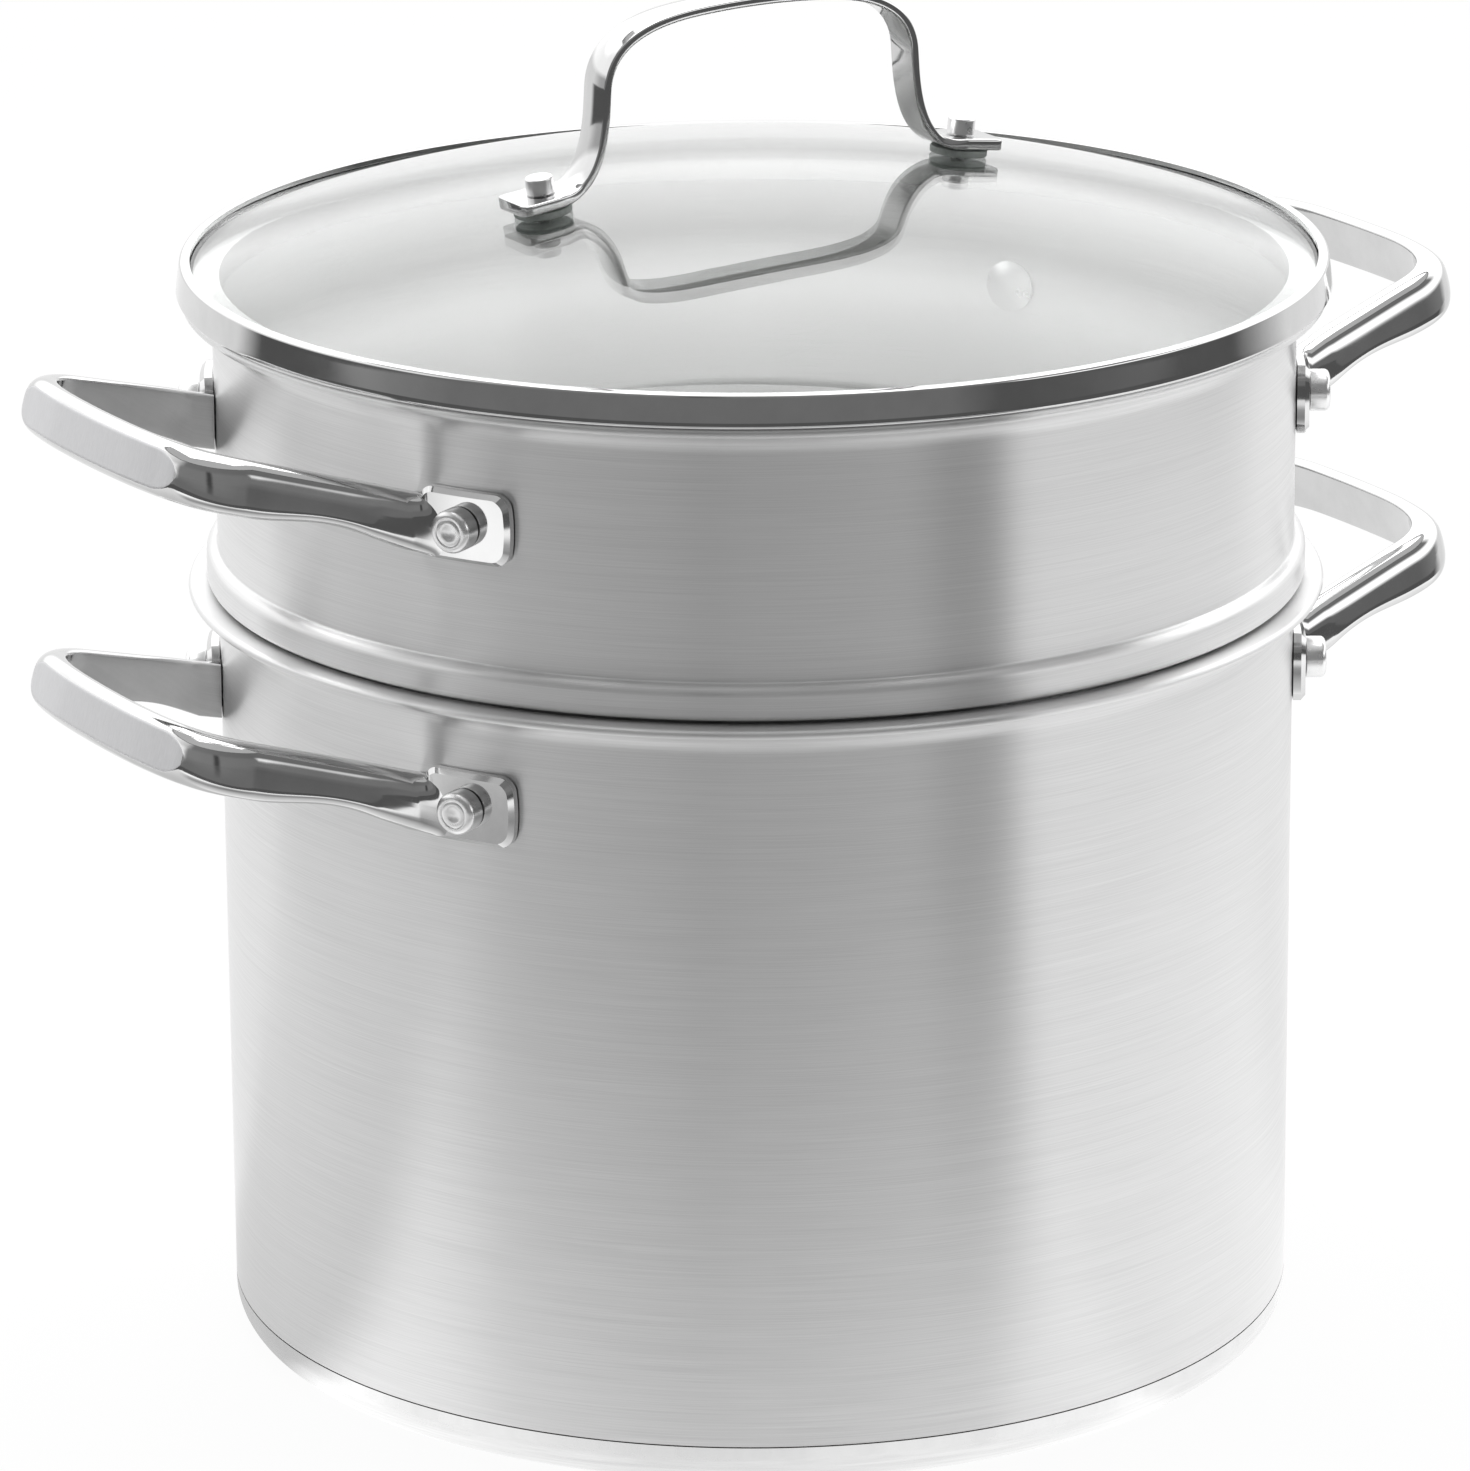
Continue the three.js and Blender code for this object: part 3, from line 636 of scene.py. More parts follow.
def perforated_disc(outline, holes, centres):
    """Triangles of a flat disc with round holes, as (points, triangles)."""
    flat, edges = [], []
    for loop in (outline, *holes):
        start = len(flat)
        flat.extend(Vector(point) for point in loop)
        edges.extend((start + k, start + (k + 1) % len(loop)) for k in range(len(loop)))
    cells = delaunay_2d_cdt(flat, edges, [], 2, FLOOR_POINT_GAP)
    points, kept = cells[0], []
    for triangle in cells[2]:
        middle = sum((points[c] for c in triangle), Vector((0, 0))) / len(triangle)
        if all((middle - Vector(centre)).length >= HOLE_RADIUS * FLOOR_HOLE_OPEN for centre in centres):
            kept.append(list(triangle))
    return points, kept


def insert_basket():
    """Collar and perforated basket as one closed mesh."""
    verts, faces = [], []

    def add(shape, flip=False):
        offset = len(verts)
        verts.extend(shape[0])
        for face in shape[1]:
            moved = [offset + corner for corner in face]
            faces.append(moved[::-1] if flip else moved)
        return offset

    facets = HOLES_AROUND * HOLE_SIDE_STEPS
    band_low = BASKET_UNDER + HOLE_FIRST_ROW - HOLE_PITCH / 2
    band_high = band_low + HOLE_ROWS * HOLE_PITCH
    profile = insert_profile()
    upper = [
        (BASKET_OUTER, band_high),
        *line((BASKET_OUTER, band_high), profile[0], 4),
        *profile,
        *line(profile[-1], (BASKET_INNER, band_high), 4),
        (BASKET_INNER, band_high),
    ]
    corner_r = BASKET_OUTER - BASKET_CORNER
    corner_z = BASKET_UNDER + BASKET_CORNER
    outer_low = [*arc(corner_r, corner_z, BASKET_CORNER, -90, 0, 10), (BASKET_OUTER, band_low)]
    inner_corner = arc(corner_r, corner_z, BASKET_CORNER - BASKET_WALL, 0, -90, 10)
    for part in (upper, outer_low, [(BASKET_INNER, band_low), *inner_corner]):
        add(turned(part, facets))
    outer = basket_wall_cells(BASKET_OUTER)
    inner = basket_wall_cells(BASKET_INNER)
    out, into = add(outer[:2]), add(inner[:2], flip=True)
    for loop_out, loop_in in zip(outer[2], inner[2]):
        faces.extend(strip([out + c for c in loop_out], [into + c for c in loop_in]))
    centres = []
    for ring in range(FLOOR_HOLE_RINGS + 1):
        centres.extend(circle((0, 0), ring * FLOOR_HOLE_PITCH, max(1, ring * FLOOR_HOLES_PER_RING)))
    holes = [circle(centre, HOLE_RADIUS, FLOOR_HOLE_FACETS, -1) for centre in centres]
    points, kept = perforated_disc(circle((0, 0), corner_r, facets), holes, centres)
    top = BASKET_UNDER + BASKET_WALL
    add(([(p.x, p.y, top) for p in points], kept))
    add(([(p.x, p.y, BASKET_UNDER) for p in points], kept), flip=True)
    for loop in holes:
        count = len(loop)
        tube = [(x, y, top) for x, y in loop] + [(x, y, BASKET_UNDER) for x, y in loop]
        add((tube, strip(range(count), range(count, 2 * count))))
    return verts, faces


def welded(obj):
    """Joins vertices that lie on each other and turns all faces outward."""
    mesh = bmesh.new()
    mesh.from_mesh(obj.data)
    bmesh.ops.remove_doubles(mesh, verts=mesh.verts, dist=WELD_DISTANCE)
    bmesh.ops.recalc_face_normals(mesh, faces=mesh.faces)
    mesh.to_mesh(obj.data)
    mesh.free()
    obj.data.set_sharp_from_angle(angle=SHARP_ANGLE)
    return obj


basket = insert_basket()
strainer = add_piece("insert_strainer", basket, "insert", WALL_STEELS, ["insert_basket"])
line_inside(welded(strainer), 1)


# Loop handles

def bezier(start, control, end, steps):
    """Points of a quadratic curve, without its first."""
    points = []
    for i in range(1, steps + 1):
        t = i / steps
        points.append(start * (1 - t) ** 2 + control * (2 * t * (1 - t)) + end * t**2)
    return points


def smooth_step(low, high, value):
    t = min(1, max(0, (value - low) / (high - low)))
    return t * t * (3 - 2 * t)


def handle_half_path():
    """Inner face of half a loop handle from the middle of the bar to the wall: bar and bend, then arm."""
    middle = Vector((HANDLE_REACH + HANDLE_BOW, 0, HANDLE_BAR_RISE))
    corner = Vector((HANDLE_CORNER_X, HANDLE_CORNER_HALF, HANDLE_BAR_RISE))
    root = Vector((HANDLE_ROOT_X, HANDLE_ROOT_HALF, HANDLE_ROOT_RISE))
    bar_end = corner + (middle - corner).normalized() * HANDLE_BAR_TRIM
    bar_far = Vector((bar_end.x, -bar_end.y, bar_end.z))
    bar = [bar_far, *bezier(bar_far, middle, bar_end, HANDLE_BAR_STEPS)]
    half_bar = bar[len(bar) // 2 :]
    arm_start = corner + (root - corner).normalized() * HANDLE_ARM_TRIM
    bend = bezier(bar_end, corner, arm_start, HANDLE_BEND_STEPS)
    arm = [arm_start.lerp(root, (i + 1) / HANDLE_ARM_STEPS) for i in range(HANDLE_ARM_STEPS)]
    return [*half_bar, *bend], arm


def grip_section(depth, waist, flat, lower_roundness):
    """Handle section, flat towards the pot and ground to a flat of some height outside.

    Points (outward, up) in order, starting at the lower inner corner. A greater roundness is squarer.
    """
    half = GRIP_HEIGHT / 2
    cut = GRIP_CORNER_BREAK
    power = 2 / GRIP_ROUNDNESS
    flat_angle = math.asin((max(flat, GRIP_MIN_FLAT) / GRIP_HEIGHT) ** (1 / power))
    limit = cut + (depth - cut) * math.cos(flat_angle) ** power
    points = []
    for i in range(GRIP_CORNER_STEPS):
        angle = math.pi / 2 * i / GRIP_CORNER_STEPS
        points.append((cut * (1 - math.cos(angle)), -half + cut * (1 - math.sin(angle))))
    side = [
        -math.pi / 2 + (math.pi / 2 - flat_angle) * i / GRIP_SIDE_STEPS
        for i in range(GRIP_SIDE_STEPS)
    ]
    face = [flat_angle * (2 * i / GRIP_FLAT_STEPS - 1) for i in range(GRIP_FLAT_STEPS + 1)]
    for angle in [*side, *face, *(-a for a in reversed(side))]:
        bend = power if angle > 0 else 2 / lower_roundness
        x = cut + (depth - cut) * abs(math.cos(angle)) ** bend
        y = math.copysign(abs(math.sin(angle)) ** bend, math.sin(angle))
        points.append((min(x, limit), half * y))
    for i in range(GRIP_CORNER_STEPS):
        angle = math.pi / 2 * (1 - (i + 1) / GRIP_CORNER_STEPS)
        points.append((cut * (1 - math.cos(angle)), half - cut * (1 - math.sin(angle))))
    for i in range(1, GRIP_INNER_STEPS):
        points.append((0, (half - cut) * (1 - 2 * i / GRIP_INNER_STEPS)))
    return [(x, y + waist * max(0, -y) / half) for x, y in points]


def pad_height(reach):
    """Height of the ground pad at a distance from the middle of the bar."""
    past = reach - (PAD_LENGTH / 2 - PAD_END_ROUND)
    if past >= PAD_END_ROUND:
        return 0
    return PAD_HEIGHT * math.sqrt(1 - (max(0, past) / PAD_END_ROUND) ** 2)


def slide_to_wall(point, direction, radius):
    """Moves a point along a direction until it lies at a distance from the pot's axis."""
    a = direction.x**2 + direction.y**2
    b = point.x * direction.x + point.y * direction.y
    c = point.x**2 + point.y**2 - radius**2
    return point + direction * ((-b - math.sqrt(b * b - a * c)) / a)


def handle_half_sections():
    """Sections of half a loop handle from the middle of the bar to the wall, and which have a pad."""
    bar, arm_points = handle_half_path()
    path = bar + arm_points
    bend = min(range(len(bar)), key=lambda k: abs(bar[k].y - CORNER_EXTRA_PLACE * HANDLE_CORNER_HALF))
    up = Vector((-math.sin(HANDLE_TILT), 0, math.cos(HANDLE_TILT)))
    reach = 0
    bend_reach = sum((b - a).length for a, b in zip(path[: bend + 1], path[1 : bend + 1]))
    sections, pads = [], []
    for k, point in enumerate(path):
        if k:
            reach += (point - path[k - 1]).length
        before = path[k - 1] if k else Vector((path[1].x, -path[1].y, path[1].z))
        after = path[min(len(path) - 1, k + 1)]
        tangent = (after - before).normalized()
        held = (up - tangent * up.dot(tangent)).normalized()
        outward = tangent.cross(held)
        along = max(0, k - len(bar) + 1) / len(arm_points)
        arm = smooth_step(ARM_FROM, ARM_TO, reach)
        twist = ARM_TWIST * arm * (1 - smooth_step(UNTWIST_FROM, UNTWIST_TO, along))
        held, outward = (
            held * math.cos(twist) - outward * math.sin(twist),
            outward * math.cos(twist) + held * math.sin(twist),
        )
        waist = ARM_WAIST * math.sin(math.pi * along) ** 2
        depth = BAR_DEPTH + (GRIP_DEPTH - BAR_DEPTH) * smooth_step(BAR_DEPTH_FROM, BAR_DEPTH_TO, reach)
        depth += CORNER_EXTRA_DEPTH * math.exp(-(((reach - bend_reach) / CORNER_EXTRA_REACH) ** 2))
        to_wall = (path[-1] - point).length
        if to_wall > FOOT_THICKNESS + 2 * ARM_FILLET:
            flat = pad_height(reach)
            pads.append(flat > GRIP_MIN_FLAT)
            lower = GRIP_ROUNDNESS + (ARM_LOWER_ROUNDNESS - GRIP_ROUNDNESS) * arm
            shape = grip_section(depth, waist, flat, lower)
            sections.append([point + outward * x + held * y for x, y in shape])
    for i in range(ARM_FILLET_STEPS + 1):
        off = ARM_FILLET * (1 - math.cos(math.pi / 2 * (1 - i / ARM_FILLET_STEPS)))
        growth = ARM_FILLET * (1 - math.cos(math.asin(1 - off / ARM_FILLET)))
        section = []
        for x, y in grip_section(GRIP_DEPTH + growth, 0, 0, ARM_LOWER_ROUNDNESS):
            hit = slide_to_wall(path[-1] + outward * x + held * y, tangent, FOOT_FACE)
            section.append(hit - tangent * off)
        sections.append(section)
    sections.append([slide_to_wall(point, tangent, HANDLE_WALL) for point in sections[-1]])
    pads.extend([False] * (len(sections) - len(pads)))
    return sections, pads


def foot_outline():
    """Outline of a foot plate with rounded corners and slightly bowed ends, as points (along, up)."""
    x, y, r = FOOT_LENGTH / 2, FOOT_HEIGHT / 2, FOOT_ROUND
    corners = []
    for k, (cx, cy) in enumerate(((x - r, y - r), (r - x, y - r), (r - x, r - y), (x - r, r - y))):
        corners.append(arc(cx, cy, r, 90 * k, 90 * k + 90, FOOT_CORNER_STEPS))
    outline = []
    for corner, following in zip(corners, corners[1:] + corners[:1]):
        outline.extend(corner)
        outline.extend(line(corner[-1], following[0], FOOT_EDGE_STEPS))
    bowed = []
    for u, v in outline:
        end = FOOT_END_BOW * smooth_step(x - FOOT_BOW_REACH, x, abs(u)) * (v / y) ** 2
        bowed.append((u - math.copysign(end, u), v))
    return bowed


def foot_plate(angle):
    """Plate bent to the pot wall with a bevel round its face, as (verts, faces)."""
    outline = foot_outline()
    rows = [(1, 0, HANDLE_WALL), (1, 0, FOOT_FACE - FOOT_CHAMFER), (1, FOOT_CHAMFER, FOOT_FACE)]
    rows += [(share, FOOT_CHAMFER, FOOT_FACE) for share in FOOT_FACE_RINGS]
    sections = []
    for share, inset, radius in rows:
        section = []
        for u, v in outline:
            turn = angle + u * (1 - 2 * inset / FOOT_LENGTH) * share / HANDLE_WALL
            up = v * (1 - 2 * inset / FOOT_HEIGHT) * share
            section.append((radius * math.cos(turn), radius * math.sin(turn), up))
        sections.append(section)
    return swept(sections)


def loop_handle():
    """Cast loop handle: pot axis along Z, outward along X, rivets at height 0. Also its pad's faces."""
    half, half_pads = handle_half_sections()
    mirrored = [[Vector((p.x, -p.y, p.z)) for p in section] for section in reversed(half[1:])]
    verts, faces = swept(mirrored + half)
    pads = half_pads[:0:-1] + half_pads
    count = len(half[0])
    flat_start = GRIP_CORNER_STEPS + GRIP_SIDE_STEPS
    pad_faces = []
    for k in range(len(pads) - 1):
        if pads[k] and pads[k + 1]:
            pad_faces.extend(k * count + i for i in range(flat_start, flat_start + GRIP_FLAT_STEPS))
    for angle in (FOOT_ANGLE, -FOOT_ANGLE):
        plate_verts, plate_faces = foot_plate(angle)
        start = len(verts)
        verts.extend(plate_verts)
        faces.extend([start + corner for corner in face] for face in plate_faces)
    return (verts, faces), pad_faces


def handle_rivet():
    """Rivet profile about its axis, heights from the pot axis: low head inside, rounded stub outside."""
    inside = INSIDE_RADIUS - CLEARANCE
    outside = FOOT_FACE + CLEARANCE
    end = outside + STUB_LENGTH
    rise = INNER_HEAD_HEIGHT - INNER_HEAD_RIM
    dome = (INNER_HEAD_RADIUS**2 + rise**2) / (2 * rise)
    head = []
    for i in range(INNER_HEAD_STEPS + 1):
        radius = INNER_HEAD_RADIUS * i / INNER_HEAD_STEPS
        drop = dome - math.sqrt(dome**2 - radius**2)
        head.append((radius, inside - INNER_HEAD_HEIGHT + drop))
    edge = STUB_EDGE_ROUND
    ring = DISC_RING_WIDTH / 2
    return [
        *head,
        (INNER_HEAD_RADIUS, inside),
        (SHANK_RADIUS, inside),
        (SHANK_RADIUS, outside),
        *arc(STUB_RADIUS - edge, outside + edge, edge, -90, 0, 4),
        *arc(STUB_RADIUS - STUB_SHOULDER, end - STUB_SHOULDER, STUB_SHOULDER, 0, 90, 10),
        (DISC_RING_RADIUS + ring, end),
        (DISC_RING_RADIUS, end - DISC_RING_DEPTH),
        (DISC_RING_RADIUS - ring, end),
        (DIMPLE_RADIUS + edge, end),
        (DIMPLE_RADIUS, end - DIMPLE_EDGE_DROP),
        (DIMPLE_RADIUS / 2, end - DIMPLE_DEPTH * DIMPLE_MIDWAY),
        (0, end - DIMPLE_DEPTH),
    ]


RIVET_ALONG_X = Matrix(((0, 0, 1, 0), (0, 1, 0, 0), (-1, 0, 0, 0), (0, 0, 0, 1)))


for owner, height in (("pot", POT_RIVET_HEIGHT), ("insert", INSERT_RIVET_HEIGHT)):
    for side in ("right", "left"):
        turn = Matrix.Rotation(0 if side == "right" else math.pi, 4, "Z")
        place = Matrix.Translation((0, 0, height)) @ turn
        shape, pad_faces = loop_handle()
        steels = [POLISHED, GROUND_PAD]
        node = f"{owner}_handle_{side}"
        loop = add_piece(f"{owner}_loop_{side}", shape, owner, steels, [node], place)
        for index in pad_faces:
            loop.data.polygons[index].material_index = 1
        for end in ("back", "front"):
            towards_back = (end == "back") == (side == "right")
            spin = Matrix.Rotation(FOOT_ANGLE if towards_back else -FOOT_ANGLE, 4, "Z")
            pin = turned(handle_rivet(), SMALL_FACETS)
            node = f"{owner}_rivet_{side}_{end}"
            along = place @ spin @ RIVET_ALONG_X
            add_piece(f"{owner}_pin_{side}_{end}", pin, owner, [SATIN], [node], along)


# Lid

def dome_top(radius):
    """Height of the dome's upper face at a distance from the axis."""
    return DOME_CENTRE + math.sqrt(DOME_RADIUS**2 - radius**2)


def lid_glass():
    radii = [GLASS_RADIUS * i / GLASS_STEPS for i in range(GLASS_STEPS + 1)]
    over = [(radius, dome_top(radius)) for radius in radii]
    return [*((radius, height - GLASS_THICKNESS) for radius, height in over), *reversed(over)]


def lid_band():
    flange_top = BAND_BOTTOM + BAND_FLANGE
    lip_inner = GLASS_RADIUS - BAND_GRIP
    lip_under = dome_top(lip_inner) + CLEARANCE
    top = lip_under + BAND_TOP_THICKNESS
    top_radius = BAND_RADIUS - BAND_TOP_INSET
    edge = BAND_EDGE_ROUND
    return [
        (SKIRT_INNER, BAND_BOTTOM - SKIRT_DROP),
        (SKIRT_OUTER, BAND_BOTTOM - SKIRT_DROP),
        (SKIRT_OUTER, BAND_BOTTOM),
        *line((SKIRT_OUTER, BAND_BOTTOM), (BAND_RADIUS - edge, BAND_BOTTOM), 4),
        *arc(BAND_RADIUS - edge, BAND_BOTTOM + edge, edge, -90, 0, 6),
        *line((BAND_RADIUS, BAND_BOTTOM + edge), (top_radius, top - edge), 6),
        *arc(top_radius - edge, top - edge, edge, 0, 90, 8),
        (lip_inner, top),
        (lip_inner, lip_under),
        (GROOVE_RADIUS, lip_under),
        (GROOVE_RADIUS, flange_top),
        (SKIRT_INNER, flange_top),
    ]


def lid_foot_matrix(sign):
    """Frame of a lid handle foot: on the dome, square to it, outward along local +X."""
    face = Matrix.Rotation(0 if sign > 0 else math.pi, 4, "Z")
    place = Matrix.Translation((LID_FOOT_RADIUS, 0, dome_top(LID_FOOT_RADIUS)))
    tilt = Matrix.Rotation(LID_FOOT_TILT, 4, "Y")
    return face @ place @ tilt


def strap_half_path():
    """Middle of the strap from its outer foot end to the middle of the top, as points in order."""
    foot = lid_foot_matrix(1)
    level = STRAP_UNDER + STRAP_THICKNESS / 2
    foot_end = foot @ Vector((LID_FOOT_OUTER, 0, level))
    middle = foot @ Vector((0, 0, level))
    inward = (foot @ Vector((-1, 0, level))) - middle
    bend = middle + inward * ((LEG_BOTTOM_X - middle.x) / inward.x)
    shoulder = Vector((LEG_TOP_X, 0, STRAP_SHOULDER - STRAP_THICKNESS / 2))
    top_middle = Vector((0, 0, shoulder.z + STRAP_ARCH))
    bend_start = bend - inward.normalized() * FOOT_BEND_ALONG
    bend_end = bend + (shoulder - bend).normalized() * FOOT_BEND_UP
    top_start = shoulder + (bend - shoulder).normalized() * TOP_BEND_DOWN
    top_end = shoulder + (top_middle - shoulder).normalized() * TOP_BEND_ALONG
    top_far = Vector((-top_end.x, top_end.y, top_end.z))
    points = [foot_end]
    for i in range(1, STRAP_FOOT_STEPS + 1):
        points.append(foot_end.lerp(bend_start, i / STRAP_FOOT_STEPS))
    points.extend(bezier(bend_start, bend, bend_end, STRAP_FOOT_STEPS))
    for i in range(1, STRAP_LEG_STEPS + 1):
        points.append(bend_end.lerp(top_start, i / STRAP_LEG_STEPS))
    points.extend(bezier(top_start, shoulder, top_end, STRAP_TOP_STEPS))
    points.extend(bezier(top_end, top_middle, top_far, STRAP_TOP_STEPS)[: STRAP_TOP_STEPS // 2])
    return points


def strap_section(width, thickness, crown):
    """Rounded rectangle with a crowned outer face: points (across the thickness, along the width)."""
    edge = min(STRAP_EDGE_ROUND, width / 2)
    points = []
    x, y = thickness / 2 - edge, width / 2 - edge
    for (cx, cy), start in (((x - crown, y), 0), ((-x, y), 90), ((-x, -y), 180), ((x - crown, -y), 270)):
        points.extend(arc(cx, cy, edge, start, start + 90, STRAP_EDGE_STEPS))
    for i in range(1, STRAP_FACE_STEPS):
        share = 2 * i / STRAP_FACE_STEPS - 1
        points.append((thickness / 2 - crown * share**2, y * share))
    return points


def lid_strap():
    """Strap bent over the dome on two rounded feet."""
    half = strap_half_path()
    path = half + [Vector((-p.x, p.y, p.z)) for p in reversed(half[:-1])]
    reach = [0]
    for a, b in zip(path, path[1:]):
        reach.append(reach[-1] + (b - a).length)
    total = reach[-1]
    across = Vector((0, 1, 0))
    sections = []
    for k, point in enumerate(path):
        tangent = (path[min(len(path) - 1, k + 1)] - path[max(0, k - 1)]).normalized()
        normal = across.cross(tangent)
        from_end = min(reach[k], total - reach[k])
        flare = from_end - LID_FOOT_OUTER
        foot = 1 - smooth_step(LID_FOOT_FLARE_FROM, LID_FOOT_FLARE_TO, flare)
        width = STRAP_WIDTH + (LID_FOOT_WIDTH - STRAP_WIDTH) * foot
        if from_end < LID_FOOT_ROUND:
            gone = LID_FOOT_ROUND - from_end
            width -= 2 * (LID_FOOT_ROUND - math.sqrt(max(0, LID_FOOT_ROUND**2 - gone**2)))
        shape = strap_section(width, STRAP_THICKNESS, STRAP_CROWN * (1 - foot))
        sections.append([point + normal * x + across * y for x, y in shape])
    return swept(sections)


def lid_rivet():
    head_foot = STRAP_UNDER + STRAP_THICKNESS + CLEARANCE
    head_top = head_foot + LID_HEAD_HEIGHT
    nut_top = -GLASS_ACROSS - 2 * CLEARANCE - LOWER_WASHER
    edge = LID_HEAD_CHAMFER
    nut_round = LID_NUT_ROUND
    return [
        (0, nut_top - LID_NUT_HEIGHT),
        *arc(LID_NUT_RADIUS - nut_round, nut_top - LID_NUT_HEIGHT + nut_round, nut_round, -90, 0, 6),
        (LID_NUT_RADIUS, nut_top),
        (LID_SHANK_RADIUS, nut_top),
        (LID_SHANK_RADIUS, head_foot),
        (LID_HEAD_RADIUS, head_foot),
        *arc(LID_HEAD_RADIUS - edge, head_top - edge, edge, 0, 90, 6),
        (0, head_top),
    ]


def washer(under, thickness):
    bore = LID_SHANK_RADIUS + CLEARANCE
    edge = WASHER_EDGE_ROUND
    top = under + thickness
    return [
        (bore, under),
        *arc(WASHER_RADIUS - edge, under + edge, edge, -90, 0, 4),
        *arc(WASHER_RADIUS - edge, top - edge, edge, 0, 90, 4),
        (bore, top),
    ]


add_piece("lid_dome", turned(lid_glass(), ROUND_FACETS), "lid", [GLASS], ["lid_glass"])
band = turned(lid_band(), ROUND_FACETS, ring=True)
add_piece("lid_band", band, "lid", [POLISHED], ["lid_rim_band"])
add_piece("lid_strap", lid_strap(), "lid", [POLISHED], ["lid_handle"])
upper_washer = turned(washer(CLEARANCE, UPPER_WASHER), SMALL_FACETS, ring=True)
lower_washer = turned(washer(-GLASS_ACROSS - CLEARANCE - LOWER_WASHER, LOWER_WASHER), SMALL_FACETS, ring=True)
lid_pin = turned(lid_rivet(), SMALL_FACETS)
for side, sign in (("right", 1), ("left", -1)):
    place = lid_foot_matrix(sign)
    add_piece(f"lid_pin_{side}", lid_pin, "lid", [SATIN], [f"lid_rivet_{side}"], place)
    for level, ring in (("upper", upper_washer), ("lower", lower_washer)):
        node = f"lid_{level}_washer_{side}"
        add_piece(f"lid_seal_{level}_{side}", ring, "lid", [SEAL], [node], place)

for obj in bpy.context.scene.objects:
    if obj.name.startswith("pot_base_core") and obj.type == "MESH":
        obj.data.materials.clear()
        obj.data.materials.append(CORE_METAL)


# Camera

ELEVATION = 0.30264
AZIMUTH = -0.53161
DISTANCE = 1.86828
LOOK_HEIGHT = 0.130
ROLL = -0.00628
FOCAL_PIXELS = 8237.0
IMAGE_WIDTH = 1470.0
SHIFT_RIGHT = 22.18
SHIFT_DOWN = 19.80

right = Vector((math.cos(AZIMUTH), math.sin(AZIMUTH), 0))
towards = Vector(
    (
        math.sin(AZIMUTH) * math.cos(ELEVATION),
        -math.cos(AZIMUTH) * math.cos(ELEVATION),
        math.sin(ELEVATION),
    )
)
upward = towards.cross(right)
image_right = right * math.cos(ROLL) + upward * math.sin(ROLL)
image_up = upward * math.cos(ROLL) - right * math.sin(ROLL)
eye = Vector((0, 0, LOOK_HEIGHT)) + towards * DISTANCE

camera_data = bpy.data.cameras.new("camera")
camera_data.sensor_fit = "HORIZONTAL"
camera_data.sensor_width = 36.0
camera_data.lens = FOCAL_PIXELS / IMAGE_WIDTH * camera_data.sensor_width
camera_data.shift_x = -SHIFT_RIGHT / IMAGE_WIDTH
camera_data.shift_y = SHIFT_DOWN / IMAGE_WIDTH
camera_data.clip_start = 0.05
camera_data.clip_end = 50.0
camera = bpy.data.objects.new("camera", camera_data)
bpy.context.scene.collection.objects.link(camera)
turn = Matrix((image_right, image_up, towards)).transposed()
camera.matrix_world = Matrix.Translation(eye) @ turn.to_4x4()
bpy.context.scene.camera = camera


# Studio

def maths(tree, operation, *values):
    """A maths node over numbers or sockets."""
    node = tree.nodes.new("ShaderNodeMath")
    node.operation = operation
    for socket, value in zip(node.inputs, values):
        if isinstance(value, (int, float)):
            socket.default_value = value
        else:
            link(tree, value, socket)
    return node.outputs["Value"]


def levels(tree, factor, low, high, stops):
    """Grey levels over a factor: stops are (position, level) with positions from low to high."""
    node = tree.nodes.new("ShaderNodeValToRGB")
    elements = node.color_ramp.elements
    while len(elements) < len(stops):
        elements.new(0.5)
    for element, (position, level) in zip(elements, stops):
        element.position = (position - low) / (high - low)
        element.color = (level, level, level, 1)
    share = maths(tree, "DIVIDE", maths(tree, "SUBTRACT", factor, low), high - low)
    link(tree, share, node.inputs["Fac"])
    return node.outputs["Color"]


def blend(tree, factor, first, second):
    """A mix of two levels; each is a number or a socket."""
    difference = maths(tree, "SUBTRACT", second, first)
    return maths(tree, "MULTIPLY_ADD", difference, factor, first)


def bearing_from_camera(tree, vector):
    """Bearing of a direction about Z in degrees: 0 towards the camera, positive to its right."""
    def along(direction):
        dot = tree.nodes.new("ShaderNodeVectorMath")
        dot.operation = "DOT_PRODUCT"
        dot.inputs[1].default_value = direction
        link(tree, vector, dot.inputs[0])
        return dot.outputs["Value"]

    front = (math.sin(AZIMUTH), -math.cos(AZIMUTH), 0)
    return maths(tree, "MULTIPLY", maths(tree, "ARCTAN2", along(right), along(front)), 180 / math.pi)


